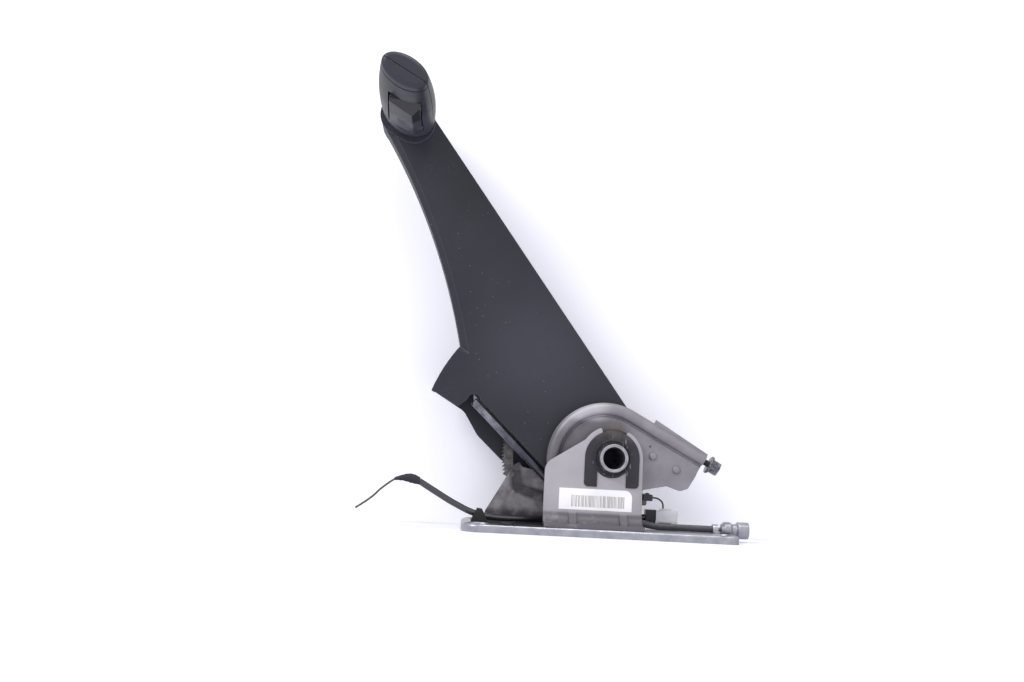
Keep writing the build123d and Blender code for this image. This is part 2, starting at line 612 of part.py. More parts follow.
def cable_end_fitting():
    """Zinc end of the cable: a waisted barrel with an open socket for the rear cable's end."""
    profile = [(0, 0), (0, 4.2), (2.5, 6.2), (7, 6.2), (8.4, 4.9), (11.5, 4.9), (12.8, 6.5), (21, 6.5), (21, 0)]
    face = Polygon(*profile, align=None)
    face = fillet([v for v in face.vertices() if 2 < v.X < 20 and v.Y > 4.5], 0.7)
    seat = Plane(origin=world(FITTING_X, QUADRANT_MID, SLEEVE_Z), x_dir=(1, 0, 0), z_dir=(0, -1, 0))
    body = revolve(seat * face, Axis(world(FITTING_X, QUADRANT_MID, SLEEVE_Z), (1, 0, 0)))
    bore_plane = Plane(origin=world(FITTING_X + 21, QUADRANT_MID, SLEEVE_Z), z_dir=(-1, 0, 0))
    body -= extrude(bore_plane * Circle(3.2), 9)
    strand_seat = Plane(origin=world(FITTING_X, QUADRANT_MID, SLEEVE_Z), z_dir=(1, 0, 0))
    return body - extrude(strand_seat * Circle(STRAND_R), 5)


def cable_tail():
    """Straight end of the strand, which slides in the sleeve."""
    seat = Plane(origin=world(TAIL_START_X, QUADRANT_MID, SLEEVE_Z), z_dir=(1, 0, 0))
    return extrude(seat * Circle(STRAND_R), FITTING_X + 5 - TAIL_START_X)


# Grip and release

def grip_part(depth):
    """Share of the grip's length from its root."""
    return (GRIP_ROOT - depth) / (GRIP_ROOT - GRIP_TIP)


def grip_centre(depth):
    """Centre of the oval at a depth: the grip leans a little on its shaft."""
    return world(GRIP_X + GRIP_LEAN[0] * grip_part(depth), depth, GRIP_Z + GRIP_LEAN[1] * grip_part(depth))


def grip_oval(depth, inset=0.0):
    """Section of the grip at a depth: it narrows to its tip and swells in the palm."""
    part = grip_part(depth)
    long_half = 21.5 - 3.1 * part + 11.4 * part * (1 - part)
    short_half = 16.0 - 5.9 * part + 14.6 * part * (1 - part)
    place = Plane(origin=grip_centre(depth), x_dir=(1, 0, 0), z_dir=(0, -1, 0))
    return place * Rot(0, 0, GRIP_TILT) * Ellipse(long_half - inset, short_half - inset)


def grip_form(inset, root, tip):
    """Lofted oval bar between two depths."""
    depths = [root + (tip - root) * i / 4 for i in range(5)]
    return loft([grip_oval(depth, inset) for depth in depths])


def grip_half(side):
    """All that lies on one side of the seam: 1 above it, -1 below it."""
    across = polar(1.0, GRIP_TILT)
    run = Vector(*grip_centre(GRIP_TIP)) - Vector(*grip_centre(GRIP_ROOT))
    away = run.cross(Vector(across[0], 0, across[1])).normalized() * side
    start = Vector(*grip_centre(GRIP_ROOT)) + away * 0.22
    seat = Plane(origin=start, x_dir=(across[0], 0, across[1]), z_dir=away)
    return extrude(seat * Rectangle(80, 260), 60, dir=away)


def window_plane():
    """Plane square to the button's travel: x along the grip."""
    press = polar(1.0, BUTTON_TILT + 90)
    return Plane(origin=world(GRIP_X, 0, GRIP_Z), x_dir=(0, 1, 0), z_dir=(press[0], 0, press[1]))


def button_prism(gap):
    """The window's outline, narrower at the tip, carried from the grip's axis out through its underside."""
    root, tip = BUTTON_ROOT - gap, BUTTON_TIP + gap
    plan = outline([(root, 2.1 - BUTTON_LEFT - gap), (tip, -0.5 - BUTTON_LEFT - gap), (tip, -BUTTON_RIGHT + 1 + gap),
                    (root, -BUTTON_RIGHT + gap)], 2)
    out = polar(1.0, BUTTON_TILT - 90)
    return extrude(window_plane() * plan, 25, dir=(out[0], 0, out[1]))


def grip_shells():
    """Upper and lower halves of the moulded grip, hollow, with the window in the lower one."""
    outer = grip_form(0, GRIP_ROOT, GRIP_TIP)
    outer = fillet(outer.faces().sort_by(Axis.Y)[0].edges(), 3.8)
    ring = extrude(grip_oval(CAP_DEPTH, -6) - grip_oval(CAP_DEPTH, 0.9), 1.2, dir=(0, 1, 0))
    shells = outer - grip_form(GRIP_WALL, GRIP_ROOT, GRIP_TIP + 3.5)
    upper = shells & grip_half(1)
    lower = (shells & grip_half(-1)) - ring
    return upper, lower - button_prism(0)


def button_point(across, outwards, depth):
    """Point by its place along the window's chord and the way that the button is pressed."""
    x, z = along(along((GRIP_X, GRIP_Z), BUTTON_TILT, across), BUTTON_TILT + 90, outwards)
    return Vector(*world(x, depth, z))


def button_slope():
    """What is cut away where the button's face dives under the shell towards the tip."""
    left = button_point(BUTTON_LEFT, -14.4, -84)
    ridge = button_point(BUTTON_RIDGE, -18.6, -69)
    deep = button_point(BUTTON_RIDGE, -12.6, -88)
    out = (deep - ridge).cross(left - ridge).normalized()
    if out.dot(button_point(0, -1, 0) - button_point(0, 0, 0)) < 0:
        out = out * -1
    return extrude(Plane(origin=ridge, x_dir=left - ridge, z_dir=out) * Rectangle(140, 140), 40, dir=out)


def release_button():
    """Finger button: a ridged pad with a dish, and a rib behind it that lifts the rocker."""
    place = Pos(GRIP_X, GRIP_Z) * Rot(0, 0, BUTTON_TILT)
    section = Polygon((BUTTON_LEFT - 2.7, -13.8), (BUTTON_RIDGE, -18.6), (BUTTON_RIGHT + 1, -13.4),
                      (BUTTON_RIGHT + 1, BUTTON_BACK), (BUTTON_LEFT - 2.7, BUTTON_BACK), align=None)
    body = plate(place * section, BUTTON_TIP - 2, BUTTON_ROOT + 2) & button_prism(0.4)
    body -= button_slope()
    body -= Pos(*button_point(-0.5, -16.6 - 14.7, -41)) * Sphere(16)
    slit = Polygon((BUTTON_TIP, 14), (BUTTON_TIP, 8.3), (-31, 10.9), (-31, 14), align=None)
    out = polar(1.0, BUTTON_TILT - 90)
    body -= extrude(window_plane() * slit, 25, dir=(out[0], 0, out[1]))
    body -= plate(place * Pos(BUTTON_RIGHT - 0.3, -12) * Rectangle(2.4, 14), -72, -34)
    rib = outline([(8.2, BUTTON_BACK - 1), (8.2, -4.5), (11.6, -4.5), (11.6, BUTTON_BACK - 1)])
    return body + plate(place * rib, -48.5, -41.5)


def grip_core():
    """Steel half tube welded to the arm, with two bearings for the rocker shaft."""
    wall = Circle(10.5) - Circle(8.3)
    open_side = Polygon((0, 0), polar(40, 160), (-40, -40), (40, -40), polar(40, 20), align=None)
    wall -= open_side
    place = Pos(GRIP_X, GRIP_Z)
    core = plate(place * wall, GRIP_TIP + 21, FLANGE_NEAR)
    hanger = (Circle(9) - open_side) + Circle(5.4)
    core += plate(place * hanger, -62, -59.5)
    core += plate(place * hanger, -9, -6.5)
    return core - disc(GRIP_X, GRIP_Z, 3.06, -120, 20)


def release_rocker():
    """Shaft along the grip with a lug over the button and a crank in the arm."""
    shaft = disc(GRIP_X, GRIP_Z, 3.0, -64, SECTOR_FAR)
    shaft = chamfer(shaft.edges(), 0.5)
    swing = degrees(BUTTON_TRAVEL / LUG_R)
    place = Pos(GRIP_X, GRIP_Z)
    lug = Rot(0, 0, BUTTON_TILT - swing / 2) * (Pos(LUG_R / 2, 0) * Rectangle(LUG_R, 3.2) + Pos(LUG_R, 0) * Circle(1.6))
    shaft += plate(place * (lug + Circle(4.6)), -48, -42)
    crank = atan2(ROD_HIGH[1] - GRIP_Z, ROD_HIGH[0] - GRIP_X)
    arm = Rot(0, 0, degrees(crank)) * (Pos(CRANK_R / 2, 0) * Rectangle(CRANK_R, 7) + Pos(CRANK_R, 0) * Circle(3.5))
    shaft += plate(place * (arm + Circle(5.2)), RATCHET_FAR, SECTOR_FAR)
    return shaft + disc(*ROD_HIGH, 2.0, RATCHET_NEAR - 0.2, RATCHET_FAR)


def release_rod():
    """Flat pressed link from the rocker's crank to the pawl's tail."""
    run = Vector(ROD_HIGH[0] - ROD_LOW[0], ROD_HIGH[1] - ROD_LOW[1])
    turn = degrees(atan2(run.Y, run.X))
    middle = ((ROD_LOW[0] + ROD_HIGH[0]) / 2, (ROD_LOW[1] + ROD_HIGH[1]) / 2)
    face = Pos(*middle) * Rot(0, 0, turn) * Rectangle(run.length, 6)
    for spot in (ROD_LOW, ROD_HIGH):
        face += Pos(*spot) * Circle(4.4)
    for spot in (ROD_LOW, ROD_HIGH):
        face -= Pos(*spot) * Circle(2.6)
    rod = plate(face, RATCHET_NEAR + 0.7, RATCHET_FAR - 0.3)
    groove = Pos(*middle) * Rot(0, 0, turn) * SlotOverall(run.length - 30, 2.4)
    return rod - plate(groove, RATCHET_NEAR, RATCHET_NEAR + 1.2)


def pawl():
    """Pawl: hub on its pin, tail to the release rod, and a nose just clear of the teeth."""
    tail = outline([(PAWL_X, PAWL_Z + 6.4), (ROD_LOW[0], ROD_LOW[1] + 4.4), (ROD_LOW[0], ROD_LOW[1] - 4.4),
                    (PAWL_X - 5, PAWL_Z - 7)])
    nose = outline([(PAWL_X - 6.4, PAWL_Z), (-81.2, 46.5), (-80.2, 43.6), (-74.12, 39.42), (-71.6, 48.5), (-67.9, PAWL_Z)])
    face = tail + nose + Pos(PAWL_X, PAWL_Z) * Circle(6.6) + Pos(*ROD_LOW) * Circle(4.6)
    body = plate(face, RATCHET_FAR, SECTOR_FAR)
    body += disc(*ROD_LOW, 2.0, RATCHET_NEAR - 0.2, RATCHET_FAR)
    return body - disc(PAWL_X, PAWL_Z, 3.06, 0, 30)


def pawl_pin():
    """Pin across the arm, headed on the far side."""
    pin = disc(PAWL_X, PAWL_Z, 3.0, FLANGE_NEAR - 0.6, FLANGE_FAR + 0.4)
    pin += disc(PAWL_X, PAWL_Z, 5.0, FLANGE_FAR, FLANGE_FAR + 1.2)
    pin += disc(PAWL_X, PAWL_Z, 4.6, SECTOR_FAR + 0.3, SECTOR_FAR + 1.1)
    return pin + disc(PAWL_X, PAWL_Z, 4.6, RATCHET_FAR - 1.1, RATCHET_FAR - 0.3)


def pawl_spring():
    """Torsion spring on the pin: close turns, with one leg along the flange."""
    turns, wire = 3, 1.2
    start = SECTOR_FAR + 1.3
    edges = [Line((3.2, 0), (3.2, turns * wire)), Line((3.2, 0), (4.4, 0)), Line((3.2, turns * wire), (4.4, turns * wire))]
    for i in range(turns):
        edges.append(ThreePointArc((4.4, i * wire), (5.0, (i + 0.5) * wire), (4.4, (i + 1) * wire)))
    face = make_face([edge for line in edges for edge in line.edges()])
    seat = Plane(origin=world(PAWL_X, start, PAWL_Z), x_dir=(1, 0, 0), z_dir=(0, 0, 1))
    coil = revolve(seat * face, Axis(world(PAWL_X, 0, PAWL_Z), (0, 1, 0)))
    return coil + block(PAWL_X - 18, PAWL_X, start, start + wire, PAWL_Z - 4.9, PAWL_Z - 4.9 + wire)


# Switch and wiring

SWITCH_X = (26.6, 33.8)
SWITCH_Z = (-31.4, -26.4)


def switch_body():
    """Warning switch: a slim block on the bracket's tab, with a mouth for its plunger."""
    body = block(*SWITCH_X, -13.5, RATCHET_NEAR, *SWITCH_Z)
    body = fillet(body.edges().filter_by(Axis.Y), 0.8)
    return body - Pos(*world(30.2, QUADRANT_MID, -27)) * Cylinder(1.62, 5)


def switch_plunger():
    plunger = Pos(*world(30.2, QUADRANT_MID, -26.4)) * Cylinder(1.55, 2.2)
    return fillet(plunger.edges().sort_by(Axis.Z)[-1], 0.7)


def switch_plug():
    """Black end of the loom, pushed into the connector."""
    plug = block(31.4, 39.4, 1.0, 9.0, -48.8, -38.6)
    return fillet(plug.edges().filter_by(Axis.X), 1.0)


def switch_connector():
    """Pale connector housing with a latch rib and two open cells."""
    body = block(39.4, 56.4, 0.0, 10.0, -48.4, -38.6)
    body = fillet(body.edges().filter_by(Axis.X), 0.9)
    body += block(43, 52, 3.5, 6.5, -38.7, -37.4)
    for y in (2.9, 7.1):
        body -= block(49, 56.5, y - 1.3, y + 1.3, -46.2, -41.0)
    return body


def switch_clip():
    """Bent steel clip that holds the connector off the base."""
    clip = block(42, 52, 1.0, 9.0, BASE_TOP, BASE_TOP + 1.2)
    clip += block(42, 43.2, 1.0, 9.0, BASE_TOP, -48.4)
    return clip + block(42, 52, 1.0, 9.0, -49.6, -48.4)


def switch_wire():
    """Short lead from the switch over to its connector."""
    points = [(33.8, -29.2, 2.0), (39.0, -28.8, 2.4), (44.0, -31.4, 3.4), (45.6, -34.8, 4.6), (45.6, -37.4, 5.0)]
    wire = tube_along([world(x, y, z) for x, z, y in points], 0.7)
    return wire - switch_body() - switch_connector()


def harness_clip():
    """Wedge-shaped clip over the loom at the base's end."""
    face = Polygon((-106.5, BASE_TOP), (-92.5, BASE_TOP), (-97.6, -43.6), (-101.4, -43.0), align=None)
    return plate(fillet(face.vertices(), 0.8), -18.5, -8.2)


def push_pin():
    """Push-in fastener through the base, with a domed head."""
    x, y = PIN_SPOT
    head = Pos(x, y, BASE_HEIGHT + 1.0) * Cylinder(5.0, 2.0)
    head = fillet(head.edges().sort_by(Axis.Z)[-1], 1.4)
    shank = Pos(x, y, BASE_HEIGHT / 2 + 0.2) * Cylinder(2.9, BASE_HEIGHT - 0.4)
    return head + chamfer(shank.edges().sort_by(Axis.Z)[0], 0.9)


LOOM_POINTS = [(31.4, -44.6, 5.0), (12.0, -49.8, 5.0), (-12.0, -50.3, 5.0), (-40.0, -50.2, 4.0), (-66.0, -50.2, -3.0),
               (-88.0, -50.0, -11.0), (-104.0, -47.6, -13.4), (-120.8, -39.8, -14.0), (-133.0, -32.9, -14.0),
               (-147.0, -24.9, -14.0)]
WIRE_POINTS = [(-165.6, -24.2, -14.0), (-174.8, -30.6, -14.0), (-182.8, -39.8, -14.2), (-194.2, -47.4, -14.6)]


def loom_parts():
    """Loom in its sleeve, with the clip cut to let it through, and the wire beyond the tape."""
    sleeve = tube_along([world(x, y, z) for x, z, y in LOOM_POINTS], LOOM_R)
    wire = tube_along([world(x, y, z) for x, z, y in WIRE_POINTS], WIRE_R)
    clip = harness_clip() - sleeve
    return sleeve - switch_plug(), wire, clip


def loom_tape():
    """Taped end of the sleeve, pinched down to the wire."""
    start = Vector(*world(LOOM_POINTS[-1][0], LOOM_POINTS[-1][2], LOOM_POINTS[-1][1]))
    before = Vector(*world(LOOM_POINTS[-2][0], LOOM_POINTS[-2][2], LOOM_POINTS[-2][1]))
    middle = Vector(*world(-155.2, -14.0, -22.4))
    end = Vector(*world(-165.6, -14.0, -24.2))
    rings = [Plane(origin=start, z_dir=start - before) * Circle(2.9)]
    rings.append(Plane(origin=middle, z_dir=end - start) * Circle(3.2))
    rings.append(Plane(origin=end, z_dir=Vector(-9.2, 0, -6.4)) * Circle(1.9))
    return loft(rings)


def report_bends():
    """Print each cord's arc radii and lengths."""
    for name, points in (("loom_sleeve", LOOM_POINTS), ("loom_wire", WIRE_POINTS)):
        spots = [Vector(*world(x, y, z)) for x, z, y in points]
        print(name, "bend radii", [round(r, 1) for r in bend_radii(spots)])


def build():
    """Make every piece, keyed by its name."""
    upper, lower = grip_shells()
    sleeve, wire, clip = loom_parts()
    makers = [base_plate, front_bracket, front_pivot_bush, ratchet_bracket, ratchet_sector, sector_rivets,
              rear_pivot_bush, pivot_tube, lever_arm, arm_cover_near, arm_cover_far, cover_screws,
              quadrant_rivets, adjuster_rod, adjuster_nut, cable_strand, cable_sleeve,
              cable_clip, cable_end_fitting, cable_tail, grip_core, release_button, release_rocker,
              release_rod, pawl, pawl_pin, pawl_spring, switch_body, switch_plunger, switch_plug,
              switch_connector, switch_clip, switch_wire, push_pin, loom_tape]
    parts = {maker.__name__: maker() for maker in makers}
    parts["quadrant_near_plate"] = quadrant_plate(-1)
    parts["quadrant_far_plate"] = quadrant_plate(1)
    parts["grip_upper_shell"] = upper
    parts["grip_lower_shell"] = lower
    parts["loom_sleeve"] = sleeve
    parts["loom_wire"] = wire
    parts["harness_clip"] = clip
    return parts


def main():
    os.makedirs("parts", exist_ok=True)
    report_bends()
    for name, part in build().items():
        export_step(part, f"parts/{name}.step")
        print(name, len(part.solids()), round(part.volume))


if __name__ == "__main__":
    main()
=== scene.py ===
"""Studio scene of a hand brake lever unit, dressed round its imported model."""
import json
import logging
import math
from abc import ABC, abstractmethod
from dataclasses import dataclass
from enum import Enum
from typing import Any, Sequence

import bpy
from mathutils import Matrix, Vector


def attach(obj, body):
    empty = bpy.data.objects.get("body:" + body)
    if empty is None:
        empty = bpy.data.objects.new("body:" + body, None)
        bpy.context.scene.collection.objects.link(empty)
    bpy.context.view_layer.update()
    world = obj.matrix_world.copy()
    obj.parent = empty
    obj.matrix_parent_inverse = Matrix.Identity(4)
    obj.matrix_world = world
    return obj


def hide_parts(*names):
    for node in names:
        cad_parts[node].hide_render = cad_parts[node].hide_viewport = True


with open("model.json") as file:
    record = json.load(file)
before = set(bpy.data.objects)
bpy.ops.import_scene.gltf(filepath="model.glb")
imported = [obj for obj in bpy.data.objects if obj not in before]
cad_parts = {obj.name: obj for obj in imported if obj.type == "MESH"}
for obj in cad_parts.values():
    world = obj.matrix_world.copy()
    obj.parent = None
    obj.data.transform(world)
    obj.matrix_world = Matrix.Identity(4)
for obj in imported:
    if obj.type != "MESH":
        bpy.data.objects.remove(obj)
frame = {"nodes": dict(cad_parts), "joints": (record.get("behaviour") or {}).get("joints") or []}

MM = 0.001
PIVOT = Vector(next(joint["pos_m"] for joint in frame["joints"] if joint["name"] == "lever_pivot"))
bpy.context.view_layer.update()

Socket = bpy.types.NodeSocket
Tree = bpy.types.NodeTree
Point = tuple[float, float, float]

logging.basicConfig(level=logging.INFO, format="%(name)s: %(message)s")
log = logging.getLogger("brake_lever")


def spot(x: float, depth: float, z: float) -> Vector:
    """Point in the row frame from millimetres counted from the lever's pivot.

    Args:
        x: Millimetres to the right of the pivot.
        depth: Millimetres behind the arm's datum, along Y.
        z: Millimetres above the pivot.

    Returns:
        The point in metres.
    """
    return PIVOT + Vector((x, depth, z)) * MM


def toward(start: Point, end: Point) -> Point:
    """Way from one point to another."""
    return tuple(last - first for first, last in zip(start, end))


def linear(code: str) -> tuple[float, float, float, float]:
    """Turns an sRGB hex code into linear red, green, blue and alpha.

    Args:
        code: Six hex digits after a hash sign.

    Returns:
        The linear colour with full alpha.
    """
    parts = [int(code[i:i + 2], 16) / 255 for i in (1, 3, 5)]
    red, green, blue = [p / 12.92 if p <= 0.04045 else ((p + 0.055) / 1.055) ** 2.4 for p in parts]
    return (red, green, blue, 1.0)


def per_mm(size: float) -> float:
    """Scale of a pattern on Object coordinates whose features are this many millimetres."""
    return 1.0 / (size * MM)


def add_node(tree: Tree, kind: str, inputs: dict[Any, Any] | None = None, **settings: Any) -> bpy.types.Node:
    """Adds one node with its settings and its inputs.

    Args:
        tree: The tree that the node goes into.
        kind: The node's type without its ShaderNode prefix.
        inputs: For each input's name or number, a value or another node's output.
        **settings: The node's own properties.

    Returns:
        The new node.
    """
    node = tree.nodes.new("ShaderNode" + kind)
    for name, value in settings.items():
        setattr(node, name, value)
    for name, value in (inputs or {}).items():
        if isinstance(value, bpy.types.NodeSocket):
            tree.links.new(value, node.inputs[name])
        else:
            node.inputs[name].default_value = value
    return node


class Slot(Enum):
    """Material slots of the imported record."""

    ZINC = "zinc_plate"
    BRACKET = "bracket_paint"
    GREASED = "greased_steel"
    HARDENED = "hardened_steel"
    QUADRANT = "quadrant_steel"
    BRIGHT = "bright_steel"
    STRAND = "strand_steel"
    COVER = "cover_plastic"
    GRIP = "grip_plastic"
    BUSH = "bush_plastic"
    SLEEVE = "sleeve_plastic"
    SWITCH = "switch_plastic"
    CONNECTOR = "connector_plastic"
    CLIP = "clip_plastic"
    LOOM = "loom_plastic"
    WIRE = "wire_rubber"


class Body(Enum):
    """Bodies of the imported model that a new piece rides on."""

    BASE = "base"
    LEVER = "lever"


class Axis(Enum):
    """Axes of the row frame, each with its number in a point."""

    X = 0
    Y = 1
    Z = 2


class Area(ABC):
    """Part of a surface, given as a share: 1 inside it, 0 outside it, and between them at a soft border."""

    @abstractmethod
    def share(self, tree: Tree, place: Socket) -> Socket:
        """Adds the nodes that work the share out.

        Args:
            tree: The material's node tree.
            place: Object coordinates.

        Returns:
            The share's socket.
        """


def meet(tree: Tree, place: Socket, areas: Sequence[Area], strength: float = 1.0) -> Socket:
    """Finds where all of several areas meet, by the product of their shares.

    Args:
        tree: The material's node tree.
        place: Object coordinates.
        areas: One area or more.
        strength: The answer where every area is full.

    Returns:
        The product's socket.
    """
    product: Any = strength
    for area in areas:
        product = add_node(tree, "Math", {0: product, 1: area.share(tree, place)}, operation="MULTIPLY",
                           use_clamp=True).outputs[0]
    return product


@dataclass(frozen=True)
class Ramp(Area):
    """All past a plane across one axis: none at start and all at full, in millimetres from the pivot."""

    axis: Axis
    start: float
    full: float

    def share(self, tree: Tree, place: Socket) -> Socket:
        """Rises smoothly from the start to where the ramp is full.

        Args:
            tree: The material's node tree.
            place: Object coordinates.

        Returns:
            The share's socket.
        """
        parts = add_node(tree, "SeparateXYZ", {0: place})
        number = self.axis.value
        ramp = add_node(tree, "MapRange", {"Value": parts.outputs[number],
                                           "From Min": PIVOT[number] + self.start * MM,
                                           "From Max": PIVOT[number] + self.full * MM},
                        interpolation_type="SMOOTHSTEP")
        return ramp.outputs[0]


@dataclass(frozen=True)
class Tube(Area):
    """All near a straight line: full within one distance and none past another, in millimetres.

    The line goes through a point that is counted from the pivot, and runs along Y if no way is given.
    """

    at: Point
    inner: float
    outer: float
    way: Point = (0.0, 1.0, 0.0)

    def share(self, tree: Tree, place: Socket) -> Socket:
        """Measures how near a point is to the line.

        Args:
            tree: The material's node tree.
            place: Object coordinates.

        Returns:
            The share's socket.
        """
        arm = add_node(tree, "VectorMath", {0: place, 1: spot(*self.at)}, operation="SUBTRACT")
        cross = add_node(tree, "VectorMath", {0: arm.outputs[0], 1: Vector(self.way).normalized()},
                         operation="CROSS_PRODUCT")
        distance = add_node(tree, "VectorMath", {0: cross.outputs[0]}, operation="LENGTH")
        near = add_node(tree, "MapRange", {"Value": distance.outputs["Value"], "From Min": self.inner * MM,
                                           "From Max": self.outer * MM, "To Min": 1.0, "To Max": 0.0},
                        interpolation_type="SMOOTHSTEP")
        return near.outputs[0]


@dataclass(frozen=True)
class Patches(Area):
    """Soft patches of a size in millimetres: none below one level of a noise and full above another."""

    size: float
    low: float
    high: float
    detail: float = 4.0
    harshness: float = 0.6

    def share(self, tree: Tree, place: Socket) -> Socket:
        """Stretches the noise between its two levels.

        Args:
            tree: The material's node tree.
            place: Object coordinates.

        Returns:
            The share's socket.
        """
        noise = add_node(tree, "TexNoise", {"Vector": place, "Scale": per_mm(self.size),
                                            "Detail": self.detail, "Roughness": self.harshness})
        patch = add_node(tree, "MapRange", {"Value": noise.outputs[0], "From Min": self.low,
                                            "From Max": self.high})
        return patch.outputs[0]


@dataclass(frozen=True)
class Flecks(Area):
    """Round specks at a mean pitch: full within the core's radius and none past the rim's, in millimetres."""

    pitch: float
    core: float
    rim: float

    def share(self, tree: Tree, place: Socket) -> Socket:
        """Puts one speck at the middle of each cell.

        Args:
            tree: The material's node tree.
            place: Object coordinates.

        Returns:
            The share's socket.
        """
        cells = add_node(tree, "TexVoronoi", {"Vector": place, "Scale": per_mm(self.pitch)})
        speck = add_node(tree, "MapRange", {"Value": cells.outputs["Distance"],
                                            "From Min": self.core / self.pitch,
                                            "From Max": self.rim / self.pitch, "To Min": 1.0, "To Max": 0.0})
        return speck.outputs[0]


@dataclass(frozen=True)
class Scratches(Area):
    """Long fine marks: none below one level of a noise and full above another.

    Their sizes along X, Y and Z are in millimetres, and the noise is turned about Y by an angle in radians.
    """

    sizes: Point
    turn: float
    low: float
    high: float

    def share(self, tree: Tree, place: Socket) -> Socket:
        """Squeezes a noise to the marks' sizes and keeps its peaks.

        Args:
            tree: The material's node tree.
            place: Object coordinates.

        Returns:
            The share's socket.
        """
        squeezed = add_node(tree, "Mapping", {"Vector": place, "Rotation": (0.0, self.turn, 0.0),
                                              "Scale": [per_mm(size) for size in self.sizes]})
        noise = add_node(tree, "TexNoise", {"Vector": squeezed.outputs[0], "Scale": 1.0, "Detail": 1.0})
        marks = add_node(tree, "MapRange", {"Value": noise.outputs[0], "From Min": self.low,
                                            "From Max": self.high})
        return marks.outputs[0]


@dataclass(frozen=True)
class PaintedEdgeHighlight(Area):
    """Painted highlight on sharp edges, told by how far the normal would turn if they were rounded to a
    radius in millimetres.

    The painted highlight begins at one cosine between the two normals and is full at another.
    """

    radius: float
    cosine_begins: float = 0.99
    cosine_full: float = 0.85

    def share(self, tree: Tree, place: Socket) -> Socket:
        """Compares the rounded normal with the plain one.

        Args:
            tree: The material's node tree.
            place: Object coordinates, which edges don't need.

        Returns:
            The share's socket.
        """
        rounded = add_node(tree, "Bevel", {"Radius": self.radius * MM}, samples=4)
        flat = add_node(tree, "NewGeometry")
        cosine = add_node(tree, "VectorMath", {0: rounded.outputs[0], 1: flat.outputs["Normal"]},
                          operation="DOT_PRODUCT")
        edge = add_node(tree, "MapRange", {"Value": cosine.outputs["Value"],
                                           "From Min": self.cosine_begins, "From Max": self.cosine_full})
        return edge.outputs[0]


@dataclass(frozen=True)
class Bars(Area):
    """Upright bars at one pitch in millimetres, each of them as wide a share of it as chance has it."""

    pitch: float
    narrowest: float = 0.3
    widest: float = 0.8

    def share(self, tree: Tree, place: Socket) -> Socket:
        """Numbers the pitches along X, and inks each of them up to a width drawn by its number.

        Args:
            tree: The material's node tree.
            place: Object coordinates.

        Returns:
            The share's socket.
        """
        across = add_node(tree, "SeparateXYZ", {0: place}).outputs[0]
        column = add_node(tree, "Math", {0: across, 1: per_mm(self.pitch)}, operation="MULTIPLY")
        number = add_node(tree, "Math", {0: column.outputs[0]}, operation="FLOOR")
        chance = add_node(tree, "TexWhiteNoise", {"W": number.outputs[0]}, noise_dimensions="1D")
        width = add_node(tree, "MapRange", {"Value": chance.outputs[0], "To Min": self.narrowest,
                                            "To Max": self.widest})
        along = add_node(tree, "Math", {0: column.outputs[0]}, operation="FRACT")
        inked = add_node(tree, "Math", {0: along.outputs[0], 1: width.outputs[0]}, operation="LESS_THAN")
        return inked.outputs[0]


@dataclass(frozen=True)
class Panel(Area):
    """A rectangle seen from the front, in millimetres from the pivot, whose border is a hair wide."""

    left: float
    right: float
    bottom: float
    top: float
    hair: float = 0.1

    def share(self, tree: Tree, place: Socket) -> Socket:
        """Meets a ramp at each of the four sides.

        Args:
            tree: The material's node tree.
            place: Object coordinates.

        Returns:
            The share's socket.
        """
        sides = (Ramp(Axis.X, self.left - self.hair, self.left + self.hair),
                 Ramp(Axis.X, self.right + self.hair, self.right - self.hair),
                 Ramp(Axis.Z, self.bottom - self.hair, self.bottom + self.hair),
                 Ramp(Axis.Z, self.top + self.hair, self.top - self.hair))
        return meet(tree, place, sides)


@dataclass(frozen=True)
class Outside(Area):
    """All but the part where some other areas meet."""

    areas: tuple[Area, ...]

    def share(self, tree: Tree, place: Socket) -> Socket:
        """Takes the others' share from 1.

        Args:
            tree: The material's node tree.
            place: Object coordinates.

        Returns:
            The share's socket.
        """
        inside = meet(tree, place, self.areas)
        return add_node(tree, "Math", {0: 1.0, 1: inside}, operation="SUBTRACT").outputs[0]


@dataclass(frozen=True)
class Stain:
    """Another colour where some areas meet, and another roughness too if the stain has its own."""

    colour: str
    areas: tuple[Area, ...]
    strength: float = 1.0
    roughness: float | None = None

    def share(self, tree: Tree, place: Socket) -> Socket:
        """Share of the finish that the stain hides."""
        return meet(tree, place, self.areas, self.strength)


